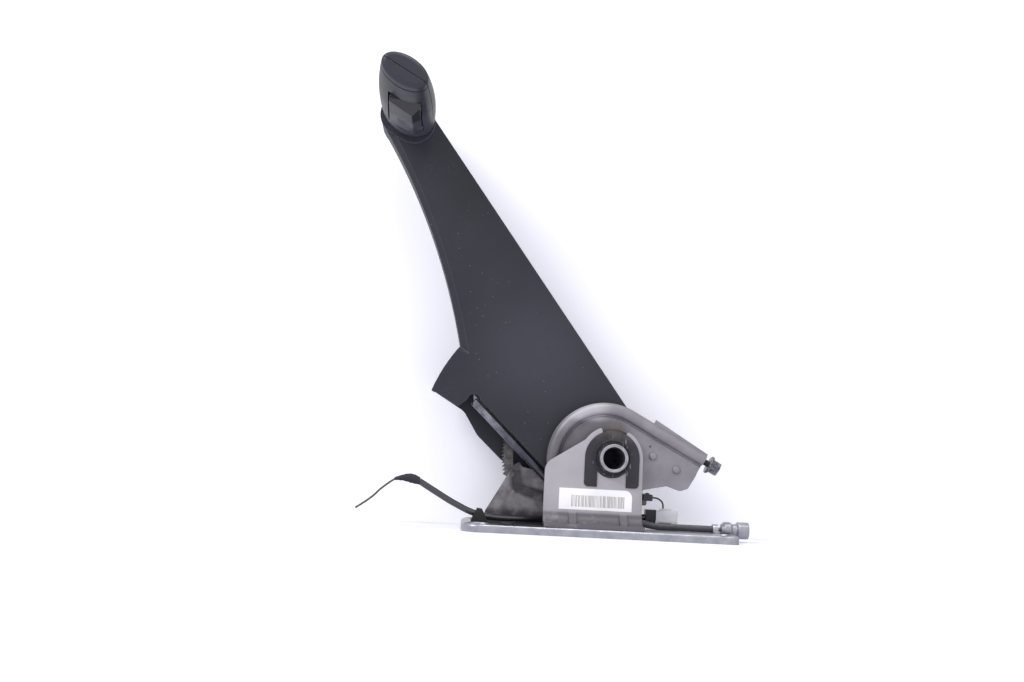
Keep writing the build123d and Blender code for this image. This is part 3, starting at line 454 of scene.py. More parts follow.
@dataclass(frozen=True)
class Finish:
    """A surface: two colours mottled together, its stains, a fine grain, an uneven gloss and soft edges.

    The fields that end in mm are millimetres, and each stain lies over the ones before it.
    """

    name: str
    slot: Slot
    colour: str
    shade: str
    roughness: float = 0.5
    uneven: float = 0.08
    metallic: float = 0.0
    ior: float = 1.5
    transmission: float = 0.0
    mottle_mm: float = 20.0
    grain_mm: float = 0.6
    relief_mm: float = 0.02
    edge_mm: float = 0.35
    stains: tuple[Stain, ...] = ()

    def material(self) -> bpy.types.Material:
        """Makes the finish's material on the first call and finds it on later ones.

        Returns:
            The material.
        """
        made = bpy.data.materials.get(self.name)
        if made is None:
            made = bpy.data.materials.new(self.name)
            made.use_nodes = True
            self.paint(made.node_tree)
        return made

    def paint(self, tree: Tree) -> None:
        """Builds the node tree from the finish's colour, gloss and relief.

        Args:
            tree: The material's node tree.
        """
        tree.nodes.clear()
        place = add_node(tree, "TexCoord").outputs["Object"]
        shader = add_node(tree, "BsdfPrincipled", {
            "Base Color": self.tint(tree, place), "Roughness": self.gloss(tree, place),
            "Normal": self.relief(tree, place), "Metallic": self.metallic,
            "Transmission Weight": self.transmission})
        if not self.metallic:
            shader.inputs["IOR"].default_value = self.ior
        add_node(tree, "OutputMaterial", {"Surface": shader.outputs[0]})

    def tint(self, tree: Tree, place: Socket) -> Socket:
        """Mottles the two colours with soft noise and lays the stains over them, one after another.

        Args:
            tree: The material's node tree.
            place: Object coordinates.

        Returns:
            The colour's socket.
        """
        mottle = Stain(self.shade, (Patches(self.mottle_mm, low=0.35, high=0.7, detail=5.0, harshness=0.5),))
        result: Any = linear(self.colour)
        for stain in (mottle, *self.stains):
            result = add_node(tree, "Mix", {0: stain.share(tree, place), 6: result, 7: linear(stain.colour)},
                              data_type="RGBA").outputs[2]
        return result

    def gloss(self, tree: Tree, place: Socket) -> Socket:
        """Varies the roughness with noise of half the mottle's size, save on a stain that has its own.

        Args:
            tree: The material's node tree.
            place: Object coordinates.

        Returns:
            The roughness socket.
        """
        noise = add_node(tree, "TexNoise", {"Vector": place, "Scale": per_mm(self.mottle_mm / 2),
                                            "Detail": 3.0})
        result = add_node(tree, "MapRange", {"Value": noise.outputs[0],
                                             "To Min": self.roughness - self.uneven,
                                             "To Max": self.roughness + self.uneven}).outputs[0]
        for stain in self.stains:
            if stain.roughness is not None:
                result = add_node(tree, "Mix", {0: stain.share(tree, place), 2: result, 3: stain.roughness},
                                  data_type="FLOAT").outputs[0]
        return result

    def height(self, tree: Tree, place: Socket) -> Socket:
        """Height of the grain.

        Args:
            tree: The material's node tree.
            place: Object coordinates.

        Returns:
            The height's socket.
        """
        grain = add_node(tree, "TexNoise", {"Vector": place, "Scale": per_mm(self.grain_mm), "Detail": 2.0})
        return grain.outputs[0]

    def relief(self, tree: Tree, place: Socket) -> Socket:
        """Gives the grain its height, over edges that catch the light as if they were rounded.

        Args:
            tree: The material's node tree.
            place: Object coordinates.

        Returns:
            The normal's socket.
        """
        edge = add_node(tree, "Bevel", {"Radius": self.edge_mm * MM}, samples=4)
        bump = add_node(tree, "Bump", {"Height": self.height(tree, place), "Distance": self.relief_mm * MM,
                                       "Normal": edge.outputs[0]})
        return bump.outputs[0]


@dataclass(frozen=True)
class LaidWire(Finish):
    """Steel cable laid from fine wires, which show as slanting ridges at a pitch along each axis."""

    ridge_mm: float = 5.13

    def height(self, tree: Tree, place: Socket) -> Socket:
        """Slanting ridges instead of a grain.

        Args:
            tree: The material's node tree.
            place: Object coordinates.

        Returns:
            The height's socket.
        """
        # At a scale of 1 the diagonal wave has one ridge in every tau / 10 along an axis
        wave = add_node(tree, "TexWave", {"Vector": place, "Scale": per_mm(self.ridge_mm) * math.tau / 10,
                                          "Distortion": 0.4}, bands_direction="DIAGONAL", wave_profile="SIN")
        return wave.outputs[1]


# Colour of old oil, also laid as painted shade in the rear bracket's pressed groove
OIL = "#2F2C31"
# Depth of the rear bracket's front face behind the arm's datum
BRACKET_FACE = 12.6
# Corners of the groove pressed into that face: its top, its bend and its right end
GROOVE_TOP = (-71.4, BRACKET_FACE, -13.5)
GROOVE_BEND = (-70.2, BRACKET_FACE, -27.2)
GROOVE_END = (-38.0, BRACKET_FACE, -35.5)
# Slope of the arm's rolled bead
BEAD_SLOPE = math.radians(-43.6)


def oil_film(patch: float, cover: float) -> Stain:
    """Old oil on steel: dark patches that shine.

    Args:
        patch: Size of a patch in millimetres.
        cover: Share of the steel that a patch hides.

    Returns:
        The stain.
    """
    return Stain(OIL, (Patches(patch, low=0.42, high=0.6),), cover, roughness=0.22)


# Injection-moulded polypropylene: even, near black with a violet cast, a fine grain and a soft broad sheen
COVER = Finish(
    "moulded_polypropylene", Slot.COVER, "#272831", "#1D1E26", roughness=0.5, uneven=0.05, ior=1.4,
    mottle_mm=70, grain_mm=0.55, relief_mm=0.03, edge_mm=0.7,
    stains=(
        # Paler on the belly above the bead, so that the cover stays darker up by the grip as painted shade
        Stain("#34353F", (Tube(at=(-60, 0, 78), inner=12, outer=62),), 0.8),
        # Pale scuffs, fine marks within broad patches
        Stain("#4C4C56", (Patches(34, low=0.52, high=0.8), Patches(1.5, low=0.5, high=0.75)), 0.5),
        # A few specks of dust
        Stain("#8E8E96", (Flecks(pitch=7.0, core=0.245, rim=0.35),), 0.55),
        # Painted highlight on the edges, pale as where they catch the light
        Stain("#6A6B76", (PaintedEdgeHighlight(radius=0.7),), 0.8),
    ))
# Satin polyamide, polished by the hand: a clearer sheen than the cover's
GRIP = Finish(
    "satin_polyamide", Slot.GRIP, "#2F2F38", "#26262E", roughness=0.42, uneven=0.06, ior=1.4,
    grain_mm=0.5, relief_mm=0.015, edge_mm=0.6,
    stains=(
        # The root, rubbed paler
        Stain("#4A4A56", (Ramp(Axis.Y, start=-66, full=-54),), 0.6),
        # The end cap, which is darker
        Stain("#292A34", (Ramp(Axis.Y, start=-104.5, full=-106.5),)),
    ))
# The same polyamide on the button: darker, with a softer edge
BUTTON = Finish(
    "button_polyamide_painted_light", Slot.GRIP, "#212129", "#1A1A20", roughness=0.4, uneven=0.06, ior=1.4,
    grain_mm=0.5, relief_mm=0.015, edge_mm=0.9,
    stains=(
        # The pad: a painted highlight on its lit facet, broken into soft patches
        Stain("#50505C", (Ramp(Axis.Y, start=-56, full=-46), Patches(9, low=0.25, high=0.6)), 0.8),
        # Painted shade in the pocket above it
        Stain("#15151B", (Ramp(Axis.Y, start=-68, full=-79),), 0.85),
    ))
# Stoved enamel on pressed steel: pale, dull and a little dirty
ENAMEL = Finish(
    "stoved_enamel", Slot.BRACKET, "#AAA7AE", "#9F9CA3", roughness=0.46, uneven=0.08,
    mottle_mm=26, grain_mm=0.9, relief_mm=0.015, edge_mm=0.5,
    stains=(
        # Darker towards the right edge
        Stain("#8A868D", (Ramp(Axis.X, start=12, full=30),), 0.6),
        # Darker at the rolled foot: painted shade under its bend, broken into patches of dirt
        Stain("#5B575E", (Ramp(Axis.Z, start=-40.8, full=-44.0), Patches(14, low=0.0, high=0.45))),
        # Faint spots all over
        Stain("#858188", (Patches(2.2, low=0.64, high=0.72),), 0.22),
    ))
# Bright zinc with a blue passivation: cool and shiny, mottled by its crystals
ZINC = Finish(
    "blue_zinc", Slot.ZINC, "#A0A1A9", "#83858F", roughness=0.34, uneven=0.1, metallic=0.6,
    mottle_mm=9, edge_mm=0.5,
    stains=(
        # Black oil on the tray's upper face, round the rear bracket's foot
        Stain("#232227", (Ramp(Axis.Z, start=-54.4, full=-53.8), Ramp(Axis.X, start=-42, full=-48),
                          Ramp(Axis.X, start=-100, full=-90), Patches(10, low=0.15, high=0.45)), 0.9),
    ))
# Low-carbon steel that lay under oil for years: grey, with dark and glossy patches
OILED = Finish(
    "oiled_steel", Slot.GREASED, "#918D93", "#787479", roughness=0.48, uneven=0.1, metallic=0.2,
    mottle_mm=12,
    stains=(
        oil_film(patch=15.0, cover=0.6),
        # Painted shade in the pressed groove, in patches of oil, down to its bend and from there along the
        # foot
        Stain(OIL, (Tube(GROOVE_TOP, inner=3.0, outer=6.5, way=toward(GROOVE_TOP, GROOVE_BEND)),
                    Ramp(Axis.Z, start=GROOVE_BEND[2] - 3, full=GROOVE_BEND[2] - 1),
                    Patches(9, low=0.2, high=0.48)), 0.85),
        Stain(OIL, (Tube(GROOVE_BEND, inner=3.0, outer=6.5, way=toward(GROOVE_BEND, GROOVE_END)),
                    Ramp(Axis.X, start=GROOVE_BEND[0] - 3, full=GROOVE_BEND[0] - 1),
                    Patches(9, low=0.2, high=0.48)), 0.85),
        # Oil that has run down to the foot
        Stain(OIL, (Ramp(Axis.Z, start=-41, full=-47), Patches(12, low=0.2, high=0.5)), 0.85),
    ))
# Case-hardened teeth and rocker: grey-brown from the quench, with dry oil
QUENCHED = Finish(
    "quenched_steel", Slot.HARDENED, "#6A6564", "#4B4746", roughness=0.42, uneven=0.1, metallic=0.45,
    mottle_mm=4, stains=(oil_film(patch=5.0, cover=0.6),))
# Manganese phosphate on pressed steel: an even, matt mid grey
PHOSPHATE = Finish(
    "phosphated_steel", Slot.QUADRANT, "#8B878E", "#7C787F", roughness=0.44, uneven=0.08, metallic=0.2,
    mottle_mm=14, relief_mm=0.012, edge_mm=0.4,
    stains=(
        # The left side below the crown, darkened: painted shade, with dirt
        Stain("#57535A", (Ramp(Axis.X, start=-26, full=-44), Ramp(Axis.Z, start=32, full=14)), 0.75),
        # Painted shade in the rolled groove, broken into patches of dirt
        Stain("#5B575E", (Tube(at=(-4.6, 0, -2), inner=33.0, outer=36.5), Patches(9, low=0.1, high=0.5),
                          Ramp(Axis.X, start=12, full=-8)), 0.65),
        # Painted highlight on the crown
        Stain("#B9B5BD", (Ramp(Axis.Z, start=26, full=31), Tube(at=(-18, 0, 32), inner=6, outer=22)), 0.8),
        # Brown-grey grease between the bracket's fingers, above the bush
        Stain("#5F5A59", (Tube(at=(1.5, 0, 21), inner=4, outer=15), Patches(6, low=0.25, high=0.6)), 0.85),
    ))
# Drawn steel of the arm: bright and smooth on the rolled bead that hands reach, with painted shade on the
# rest
ARM = Finish(
    "drawn_arm_steel", Slot.BRIGHT, "#85858F", "#4A4A55", roughness=0.28, uneven=0.1, metallic=0.75,
    mottle_mm=7,
    stains=(
        # Painted shade on the bead's lower end, where it runs in under the cover
        Stain("#3C3B46", (Ramp(Axis.X, start=-100, full=-66),), 0.9),
        # Painted shade inside the cover, that is on all but the bead
        Stain("#1E1D22", (Outside((Tube(at=(-108.3, 1.75, 39.4), inner=3.6, outer=3.8,
                                        way=(math.cos(BEAD_SLOPE), 0.0, math.sin(BEAD_SLOPE))),
                                   Ramp(Axis.X, start=-108.9, full=-108.5))),)),
    ))
# Turned and drawn steel of the tube and small parts: pale and clean, with a sharp shine
BRIGHT = Finish("turned_steel", Slot.BRIGHT, "#AEADB4", "#97969D", roughness=0.32, uneven=0.08, metallic=0.8,
                mottle_mm=5)
# Oiled fasteners: darker, with a soft shine
DULL = Finish("dull_fastener_steel", Slot.BRIGHT, "#7C7C85", "#505058", roughness=0.34, uneven=0.1,
              metallic=0.7, mottle_mm=2.5, stains=(oil_film(patch=2.5, cover=0.6),))
# Rolled thread, blackened by oil and dirt
THREAD = Finish("blackened_thread", Slot.BRIGHT, "#4A4850", "#302E35", roughness=0.42, uneven=0.1,
                metallic=0.4, mottle_mm=2.0, stains=(oil_film(patch=2.0, cover=0.7),))
# Galvanised cable wires: grey ridges that slant with the lay, drawn coarser than they are so that they show
STRAND = LaidWire("strand_wire", Slot.STRAND, "#77777A", "#5A5A5D", roughness=0.4, uneven=0.08, metallic=0.7,
                  relief_mm=0.25)
# Glass-filled nylon, moulded: near black and dull, under old bearing grease
NYLON = Finish(
    "greased_nylon", Slot.BUSH, "#2F2D33", "#26252A", roughness=0.5, uneven=0.1, ior=1.4, edge_mm=0.6,
    stains=(
        # Grease smeared over the top
        Stain("#4F4A49", (Ramp(Axis.Z, start=9, full=19), Patches(7, low=0.3, high=0.6))),
        # Near black round the tube
        Stain("#18171B", (Tube(at=(0, 0, 0), inner=11.0, outer=15.2),), 0.75),
        # Fine scratches about the tube, drawn three times as wide as they are so that they show
        Stain("#9A98A0", (Scratches(sizes=(1.1111, 5.0, 8.3333), turn=0.6, low=0.66, high=0.72),
                          Tube(at=(0, 0, 0), inner=17.0, outer=18.5)), 0.7),
    ))
# Extruded polyethylene over the cable: dark violet-grey, smooth and waxy
SLEEVE = Finish("extruded_polyethylene", Slot.SLEEVE, "#454450", "#34333D", roughness=0.3, uneven=0.08)
# Moulded polyester of the switch: dark and plain
SWITCH = Finish("switch_polyester", Slot.SWITCH, "#33333C", "#29292F", roughness=0.45, uneven=0.05, ior=1.4)
# Natural nylon, moulded: milky and a little see-through
CONNECTOR = Finish("natural_nylon", Slot.CONNECTOR, "#FBFAFF", "#F0EFF8", roughness=0.32, uneven=0.05,
                   transmission=0.1, mottle_mm=6)
# Moulded acetal of the clip and its pin: black, with a low sheen
CLIP = Finish("moulded_acetal", Slot.CLIP, "#1F1D22", "#19171B", roughness=0.45, uneven=0.05, ior=1.4)
# Vinyl sleeve of the loom, extruded: soft, shiny and a little wavy
LOOM = Finish("vinyl_sleeve", Slot.LOOM, "#23222D", "#1B1A24", roughness=0.24, uneven=0.04, ior=1.7,
              grain_mm=3.0, relief_mm=0.02)
# Woven cloth tape: matt and rough
TAPE = Finish("woven_cloth_tape", Slot.LOOM, "#33323A", "#232228", roughness=0.72, uneven=0.06, ior=1.4,
              grain_mm=0.35, relief_mm=0.12)
# Rubber coat of a wire: dark brown-grey
WIRE = Finish("wire_rubber_coat", Slot.WIRE, "#4A4644", "#3A3735", roughness=0.45, uneven=0.05)
# Coated paper of the label: white, and printed with plain grey bars
PAPER = Finish(
    "printed_paper", Slot.CONNECTOR, "#FBF9FC", "#F2F0F3", roughness=0.55, uneven=0.05,
    mottle_mm=16, edge_mm=0.1,
    stains=(Stain("#A7A3A3", (Bars(pitch=1.05), Panel(left=-30.3, right=10.8, bottom=-38.0, top=-29.2))),))

NODE_FINISHES = {
    ZINC: ["base_plate", "cable_end_fitting"],
    ENAMEL: ["front_bracket"],
    OILED: ["ratchet_bracket"],
    QUENCHED: ["ratchet_sector", "sector_rivets", "release_rocker", "pawl"],
    PHOSPHATE: ["quadrant_near_plate", "quadrant_far_plate", "quadrant_rivets"],
    ARM: ["lever_arm"],
    BRIGHT: ["pivot_tube", "cover_screws", "cable_clip", "grip_core", "release_rod", "pawl_pin",
             "switch_clip"],
    DULL: ["adjuster_nut"],
    STRAND: ["cable_strand", "cable_tail", "pawl_spring"],
    COVER: ["arm_cover_near", "arm_cover_far"],
    GRIP: ["grip_upper_shell", "grip_lower_shell"],
    BUTTON: ["release_button"],
    NYLON: ["front_pivot_bush", "rear_pivot_bush"],
    SLEEVE: ["cable_sleeve"],
    SWITCH: ["switch_body", "switch_plunger", "switch_plug"],
    CONNECTOR: ["switch_connector"],
    CLIP: ["harness_clip", "push_pin"],
}


def clear_selection() -> None:
    """Leaves edit mode and deselects everything."""
    if bpy.context.object and bpy.context.object.mode != "OBJECT":
        bpy.ops.object.mode_set(mode="OBJECT")
    bpy.ops.object.select_all(action="DESELECT")


def settle(piece: bpy.types.Object, name: str, finish: Finish, body: Body, *nodes: str) -> bpy.types.Object:
    """Names a finished piece, paints it and fixes it to its body.

    Args:
        piece: The piece, in its place.
        name: Its name in the library.
        finish: Its finish.
        body: The body that it rides on.
        *nodes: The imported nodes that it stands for.

    Returns:
        The piece.
    """
    piece.name = name
    piece.data.name = name
    piece.data.materials.clear()
    piece.data.materials.append(finish.material())
    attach(piece, body.value)
    if nodes:
        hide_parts(*nodes)
    log.info("%s in %s on %s", name, finish.name, body.value)
    return piece


@dataclass
class Label:
    """Paper label on the front bracket, with its upper right corner rounded off.

    Its sides and its face are in millimetres from the pivot.
    """

    left: float = -39.6
    right: float = 16.5
    top: float = -24.2
    bottom: float = -40.3
    face: float = -22.0
    thickness: float = 0.15
    corner: float = 5.5
    corner_steps: int = 5

    def build(self) -> bpy.types.Object:
        """Cuts the label from a plane and gives it its thickness.

        Returns:
            The label.
        """
        clear_selection()
        middle = spot((self.left + self.right) / 2, self.face - self.thickness, (self.top + self.bottom) / 2)
        bpy.ops.mesh.primitive_plane_add(size=1.0, location=middle, rotation=(math.pi / 2, 0, 0))
        label = bpy.context.object
        label.scale = ((self.right - self.left) * MM, (self.top - self.bottom) * MM, 1.0)
        bpy.ops.object.transform_apply(location=True, rotation=True, scale=True)
        for vertex in label.data.vertices:
            vertex.select = vertex.co.x > middle.x and vertex.co.z > middle.z
        for part in list(label.data.edges) + list(label.data.polygons):
            part.select = False
        bpy.ops.object.mode_set(mode="EDIT")
        bpy.ops.mesh.select_mode(type="VERT")
        bpy.ops.mesh.bevel(offset=self.corner * MM, segments=self.corner_steps, affect="VERTICES")
        bpy.ops.object.mode_set(mode="OBJECT")
        wall = label.modifiers.new("thickness", "SOLIDIFY")
        wall.thickness = self.thickness * MM
        wall.offset = -1.0
        bpy.ops.object.modifier_apply(modifier=wall.name)
        return settle(label, "bracket_label", PAPER, Body.BASE)


@dataclass
class Thread:
    """Threaded end of the brake cable: a core with a sharp-crested thread wound on it.

    Sizes are in millimetres, and the start of its axis counts from the pivot. The radius of the crest is
    that of the triangle which is wound.
    """

    axis_start: Point = (54.51, -10.0, 11.19)
    turn_deg: float = -28.0
    length: float = 33.8
    core_r: float = 2.35
    crest_r: float = 0.42
    pitch: float = 1.0
    steps: int = 20
    thread_length: float = 20.0
    plain_end: float = 1.2
    smooth_deg: float = 40.0

    def build(self) -> bpy.types.Object:
        """Winds the thread with a screw, adds the core and lays both along the channel.

        Returns:
            The threaded end.
        """
        clear_selection()
        root = (self.core_r * MM, 0, 0)
        bpy.ops.mesh.primitive_circle_add(vertices=3, radius=self.crest_r * MM, location=root,
                                          rotation=(math.pi / 2, 0, 0), fill_type="NOTHING")
        helix = bpy.context.object
        bpy.ops.object.transform_apply(location=True, rotation=True, scale=False)
        bpy.ops.object.mode_set(mode="EDIT")
        bpy.ops.mesh.select_all(action="SELECT")
        bpy.ops.transform.rotate(value=-math.pi / 2, orient_axis="Y", center_override=root)
        bpy.ops.object.mode_set(mode="OBJECT")
        wind = helix.modifiers.new("thread", "SCREW")
        wind.axis = "Z"
        wind.screw_offset = self.pitch * MM
        wind.iterations = int(self.thread_length / self.pitch)
        wind.steps = wind.render_steps = self.steps
        wind.use_normal_calculate = True
        bpy.ops.object.modifier_apply(modifier=wind.name)
        bpy.ops.object.mode_set(mode="EDIT")
        bpy.ops.mesh.select_all(action="SELECT")
        bpy.ops.mesh.fill_holes(sides=3)
        bpy.ops.transform.translate(value=(0, 0, (self.length - self.thread_length - self.plain_end) * MM))
        bpy.ops.mesh.primitive_cylinder_add(vertices=32, radius=self.core_r * MM, depth=self.length * MM,
                                            location=(0, 0, self.length / 2 * MM))
        bpy.ops.mesh.select_all(action="SELECT")
        bpy.ops.mesh.normals_make_consistent(inside=False)
        bpy.ops.object.mode_set(mode="OBJECT")
        bpy.ops.object.shade_smooth_by_angle(angle=math.radians(self.smooth_deg))
        helix.rotation_euler = (0, math.pi / 2 - math.radians(self.turn_deg), 0)
        helix.location = spot(*self.axis_start)
        bpy.ops.object.transform_apply(location=True, rotation=True, scale=True)
        return settle(helix, "cable_thread", THREAD, Body.LEVER, "adjuster_rod")


@dataclass
class Tape:
    """Cloth tape wound round the loom's end, from the sleeve down to the wire.

    Sizes are in millimetres. The fields that are shares count along the tape, from 0 at its start to 1.
    """

    start: Vector
    end: Vector
    radius: float = 2.75
    swelling: float = 0.75
    swelling_share: float = 1 / 1.7
    taper: float = 1.7
    taper_share: float = 0.55
    edge: float = 0.18
    rings: int = 16
    arch: float = 1.7
    overlap_share: float = 0.04
    reach_share: float = 1.06
    smooth_deg: float = 50.0

    def build(self) -> bpy.types.Object:
        """Cuts a cylinder into rings and shapes them.

        Returns:
            The tape.
        """
        clear_selection()
        bpy.ops.mesh.primitive_cylinder_add(vertices=20, radius=1.0, depth=1.0, end_fill_type="NGON")
        tape = bpy.context.object
        bpy.ops.object.mode_set(mode="EDIT")
        bpy.ops.mesh.select_all(action="DESELECT")
        bpy.ops.object.mode_set(mode="OBJECT")
        for edge in tape.data.edges:
            low, high = (tape.data.vertices[i].co.z for i in edge.vertices)
            edge.select = abs(high - low) > 0.5
        bpy.ops.object.mode_set(mode="EDIT")
        bpy.ops.mesh.select_mode(type="EDGE")
        bpy.ops.mesh.subdivide(number_cuts=self.rings - 1)
        bpy.ops.object.mode_set(mode="OBJECT")
        self.shape(tape.data)
        bpy.ops.object.select_all(action="DESELECT")
        tape.select_set(True)
        bpy.ops.object.shade_smooth_by_angle(angle=math.radians(self.smooth_deg))
        return settle(tape, "wound_tape", TAPE, Body.BASE, "loom_tape")

    def shape(self, mesh: bpy.types.Mesh) -> None:
        """Lays the rings along the loom, swollen at first and narrower towards the wire.

        Every third ring stands out by the tape's edge, and the whole arches up in its middle.

        Args:
            mesh: The mesh of an upright cylinder, one high and one in radius, about the origin.
        """
        way = self.end - self.start
        turn = way.to_track_quat("Z", "Y").to_matrix()
        for vertex in mesh.vertices:
            share = vertex.co.z + 0.5
            swollen = self.swelling * math.sin(math.pi * min(share / self.swelling_share, 1.0))
            narrowed = self.taper * max(share - self.taper_share, 0) / (1 - self.taper_share)
            proud = self.edge if int(share * self.rings) % 3 == 0 else 0.0
            radius = self.radius + swollen - narrowed + proud
            around = turn @ Vector((vertex.co.x, vertex.co.y, 0)) * radius * MM
            raised = Vector((0, 0, self.arch * math.sin(math.pi * share))) * MM
            along = way * (share * self.reach_share - self.overlap_share)
            vertex.co = self.start + along + around + raised


@dataclass
class Loom:
    """Wiring loom: a sleeve along the base, its taped end and the bare wire beyond, and the switch's lead.

    Radii are in millimetres, and the routes' points are millimetres from the pivot.
    """

    sleeve_r: float = 2.45
    wire_r: float = 0.8
    lead_r: float = 0.7
    sleeve_route: Sequence[Point] = (
        (31.4, 5.0, -44.6), (12.0, 5.0, -49.8), (-12.0, 5.0, -50.3), (-40.0, 4.0, -50.2),
        (-66.0, -3.0, -50.2), (-88.0, -11.0, -50.0), (-104.0, -13.4, -47.6), (-120.8, -14.0, -39.8),
        (-133.0, -14.0, -32.9), (-147.0, -14.0, -24.9))
    wire_route: Sequence[Point] = (
        (-165.6, -14.0, -24.2), (-174.8, -14.0, -30.6), (-182.8, -14.2, -39.8), (-194.2, -14.6, -47.4))
    lead_route: Sequence[Point] = (
        (33.8, 2.0, -29.2), (39.0, 2.4, -28.8), (44.0, 3.4, -31.4), (45.6, 4.6, -34.8), (45.6, 5.0, -37.4))

    def spline(self, name: str, route: Sequence[Point], radius: float) -> bpy.types.Object:
        """Lays a round cord along a route.

        Args:
            name: The cord's name.
            route: Points in millimetres from the pivot, which the smooth line is drawn to.
            radius: The cord's radius in millimetres.

        Returns:
            The cord, a curve of one spline.
        """
        curve = bpy.data.curves.new(name, "CURVE")
        curve.dimensions = "3D"
        curve.bevel_depth = radius * MM
        curve.bevel_resolution = 6
        curve.use_fill_caps = True
        run = curve.splines.new("NURBS")
        run.points.add(len(route) - 1)
        for point, place in zip(run.points, route):
            point.co = (*spot(*place), 1.0)
        run.order_u = 3
        run.use_endpoint_u = True
        run.resolution_u = 12
        cord = bpy.data.objects.new(name, curve)
        bpy.context.scene.collection.objects.link(cord)
        return cord

    def length(self, cord: bpy.types.Object) -> float:
        """Measures a cord along its own line.

        Args:
            cord: The cord.

        Returns:
            The length in metres.
        """
        line = cord.data.copy()
        line.bevel_depth = 0.0
        probe = bpy.data.objects.new("probe", line)
        bpy.context.scene.collection.objects.link(probe)
        mesh = bpy.data.meshes.new_from_object(probe)
        ends = [[mesh.vertices[i].co for i in edge.vertices] for edge in mesh.edges]
        total = sum((first - last).length for first, last in ends)
        bpy.data.objects.remove(probe)
        bpy.data.meshes.remove(mesh)
        return total

    def build(self) -> None:
        """Makes the sleeve, its tape, the wire and the switch's lead."""
        sleeve = settle(self.spline("loom_tube", self.sleeve_route, self.sleeve_r), "loom_tube", LOOM,
                        Body.BASE, "loom_sleeve")
        tape = Tape(spot(*self.sleeve_route[-1]), spot(*self.wire_route[0])).build()
        self.length(sleeve)
        wire = settle(self.spline("loose_wire", self.wire_route, self.wire_r), "loose_wire", WIRE, Body.BASE,
                      "loom_wire")
        self.length(wire)
        settle(self.spline("switch_lead", self.lead_route, self.lead_r), "switch_lead", WIRE, Body.BASE,
               "switch_wire")


@dataclass(frozen=True)
class Lamp:
    """A square soft lamp that points at the middle of the object, in metres and watts."""

    name: str
    at: Point
    size: float
    power: float
    aim: Point = (-0.05, 0.0, 0.15)

    def build(self) -> None:
        """Adds the lamp and turns it to its aim."""
        data = bpy.data.lights.new(self.name, "AREA")
        data.size = self.size
        data.energy = self.power
        lamp = bpy.data.objects.new(self.name, data)
        bpy.context.scene.collection.objects.link(lamp)
        lamp.location = self.at
        way = Vector(self.aim) - Vector(self.at)
        lamp.rotation_euler = way.to_track_quat("-Z", "Y").to_euler()


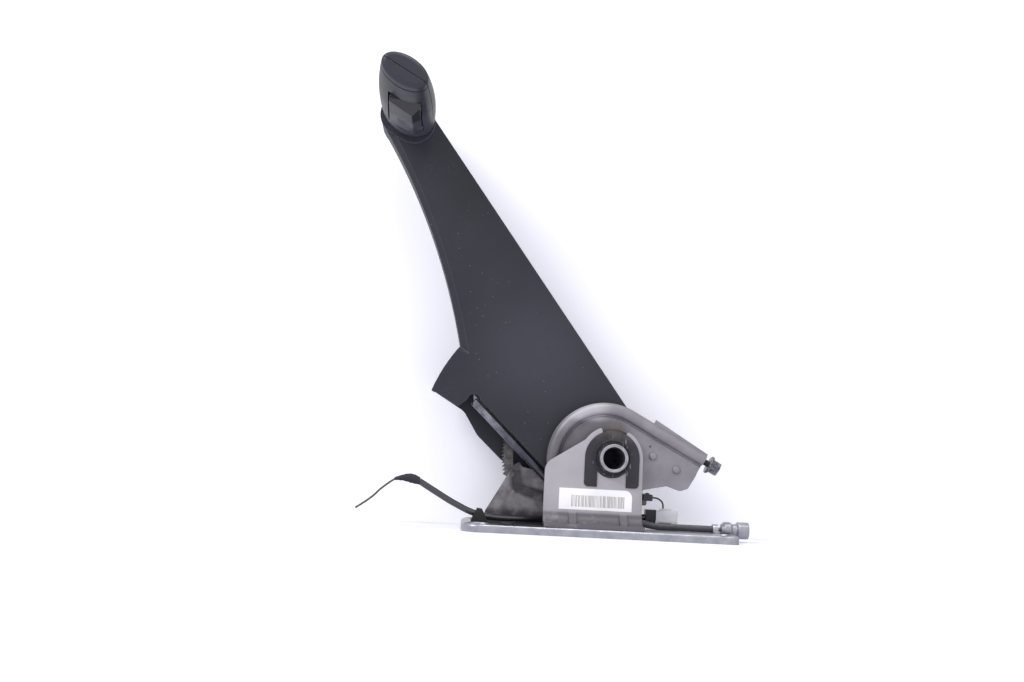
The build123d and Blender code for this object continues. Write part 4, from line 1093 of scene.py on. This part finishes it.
@dataclass
class Studio:
    """Camera, lamps, floor and backdrop, in metres; the camera stands where the photograph was taken."""

    eye: Point = (-0.11286, -0.90462, 0.06006)
    turn_deg: Point = (95.562, -2.986, -2.829)
    focal_px: float = 1150.0
    image_px: float = 1024.0
    sensor_mm: float = 36.0
    lamps: Sequence[Lamp] = (Lamp("key", at=(-1.5, -1.2, 1.5), size=0.9, power=27.0),
                             Lamp("top", at=(0.2, -0.7, 2.0), size=0.6, power=12.0),
                             Lamp("fill", at=(1.2, -1.6, 0.9), size=1.8, power=5.0))
    room_light: float = 0.5
    reach: float = 3.0
    wall_y: float = 0.055
    sheet_colour: str = "#F2F2FA"
    glow_colour: str = "#F2F2FF"
    glow_level: float = 0.2

    def camera(self) -> None:
        """Makes the camera from the measured focal length and place."""
        data = bpy.data.cameras.new("camera")
        data.sensor_width = self.sensor_mm
        data.lens = self.sensor_mm * self.focal_px / self.image_px
        camera = bpy.data.objects.new("camera", data)
        bpy.context.scene.collection.objects.link(camera)
        camera.location = self.eye
        camera.rotation_euler = [math.radians(angle) for angle in self.turn_deg]
        bpy.context.scene.camera = camera

    def world(self) -> None:
        """Lights the object evenly and shows white wherever the camera or a reflection looks out."""
        world = bpy.data.worlds.new("white_room")
        bpy.context.scene.world = world
        world.use_nodes = True
        tree = world.node_tree
        tree.nodes.clear()
        rays = add_node(tree, "LightPath")
        seen = rays.outputs["Is Camera Ray"]
        for name in ("Is Glossy Ray", "Is Transmission Ray"):
            seen = add_node(tree, "Math", {0: seen, 1: rays.outputs[name]}, operation="MAXIMUM").outputs[0]
        level = add_node(tree, "MapRange", {"Value": seen, "To Min": self.room_light, "To Max": 1.0})
        glow = add_node(tree, "Background", {"Color": (1.0, 1.0, 1.0, 1.0), "Strength": level.outputs[0]})
        add_node(tree, "OutputWorld", {"Surface": glow.outputs[0]})

    def sheet(self, name: str, corners: Sequence[Point]) -> bpy.types.Object:
        """Makes one flat white sheet, which isn't part of the object and is clear from behind.

        Args:
            name: The sheet's name.
            corners: Its four corners in metres, anticlockwise as seen from its front.

        Returns:
            The sheet.
        """
        mesh = bpy.data.meshes.new(name)
        mesh.from_pydata(corners, [], [(0, 1, 2, 3)])
        made = bpy.data.objects.new(name, mesh)
        bpy.context.scene.collection.objects.link(made)
        material = bpy.data.materials.new(name)
        material.use_nodes = True
        tree = material.node_tree
        tree.nodes.clear()
        paper = add_node(tree, "BsdfDiffuse", {"Color": linear(self.sheet_colour)})
        glow = add_node(tree, "Emission", {"Color": linear(self.glow_colour), "Strength": self.glow_level})
        lit = add_node(tree, "AddShader", {0: paper.outputs[0], 1: glow.outputs[0]})
        clear = add_node(tree, "BsdfTransparent")
        side = add_node(tree, "NewGeometry")
        shown = add_node(tree, "MixShader", {0: side.outputs["Backfacing"], 1: lit.outputs[0],
                                             2: clear.outputs[0]})
        add_node(tree, "OutputMaterial", {"Surface": shown.outputs[0]})
        mesh.materials.append(material)
        return made

    def build(self) -> None:
        """Sets the whole studio up."""
        self.camera()
        self.world()
        for lamp in self.lamps:
            lamp.build()
        far, back = self.reach, self.wall_y
        floor = self.sheet("floor", [(-far, -far, 0), (far, -far, 0), (far, far, 0), (-far, far, 0)])
        wall = self.sheet("backdrop", [(-far, back, 0), (far, back, 0), (far, back, far), (-far, back, far)])
        wall.visible_diffuse = wall.visible_glossy = wall.visible_shadow = wall.visible_transmission = False
        bpy.context.scene.view_settings.view_transform = "Standard"
        log.info("studio: %s and %s", floor.name, wall.name)


def dress_nodes() -> None:
    """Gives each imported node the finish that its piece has."""
    for finish, names in NODE_FINISHES.items():
        for name in names:
            slots = frame["nodes"][name].data.materials
            slots.clear()
            slots.append(finish.material())
        log.info("%s on %s", finish.name, ", ".join(names))


def main() -> None:
    """Builds the studio and the object, piece by piece."""
    Studio().build()
    dress_nodes()
    Thread().build()
    Loom().build()
    Label().build()


if __name__ == "__main__":
    main()
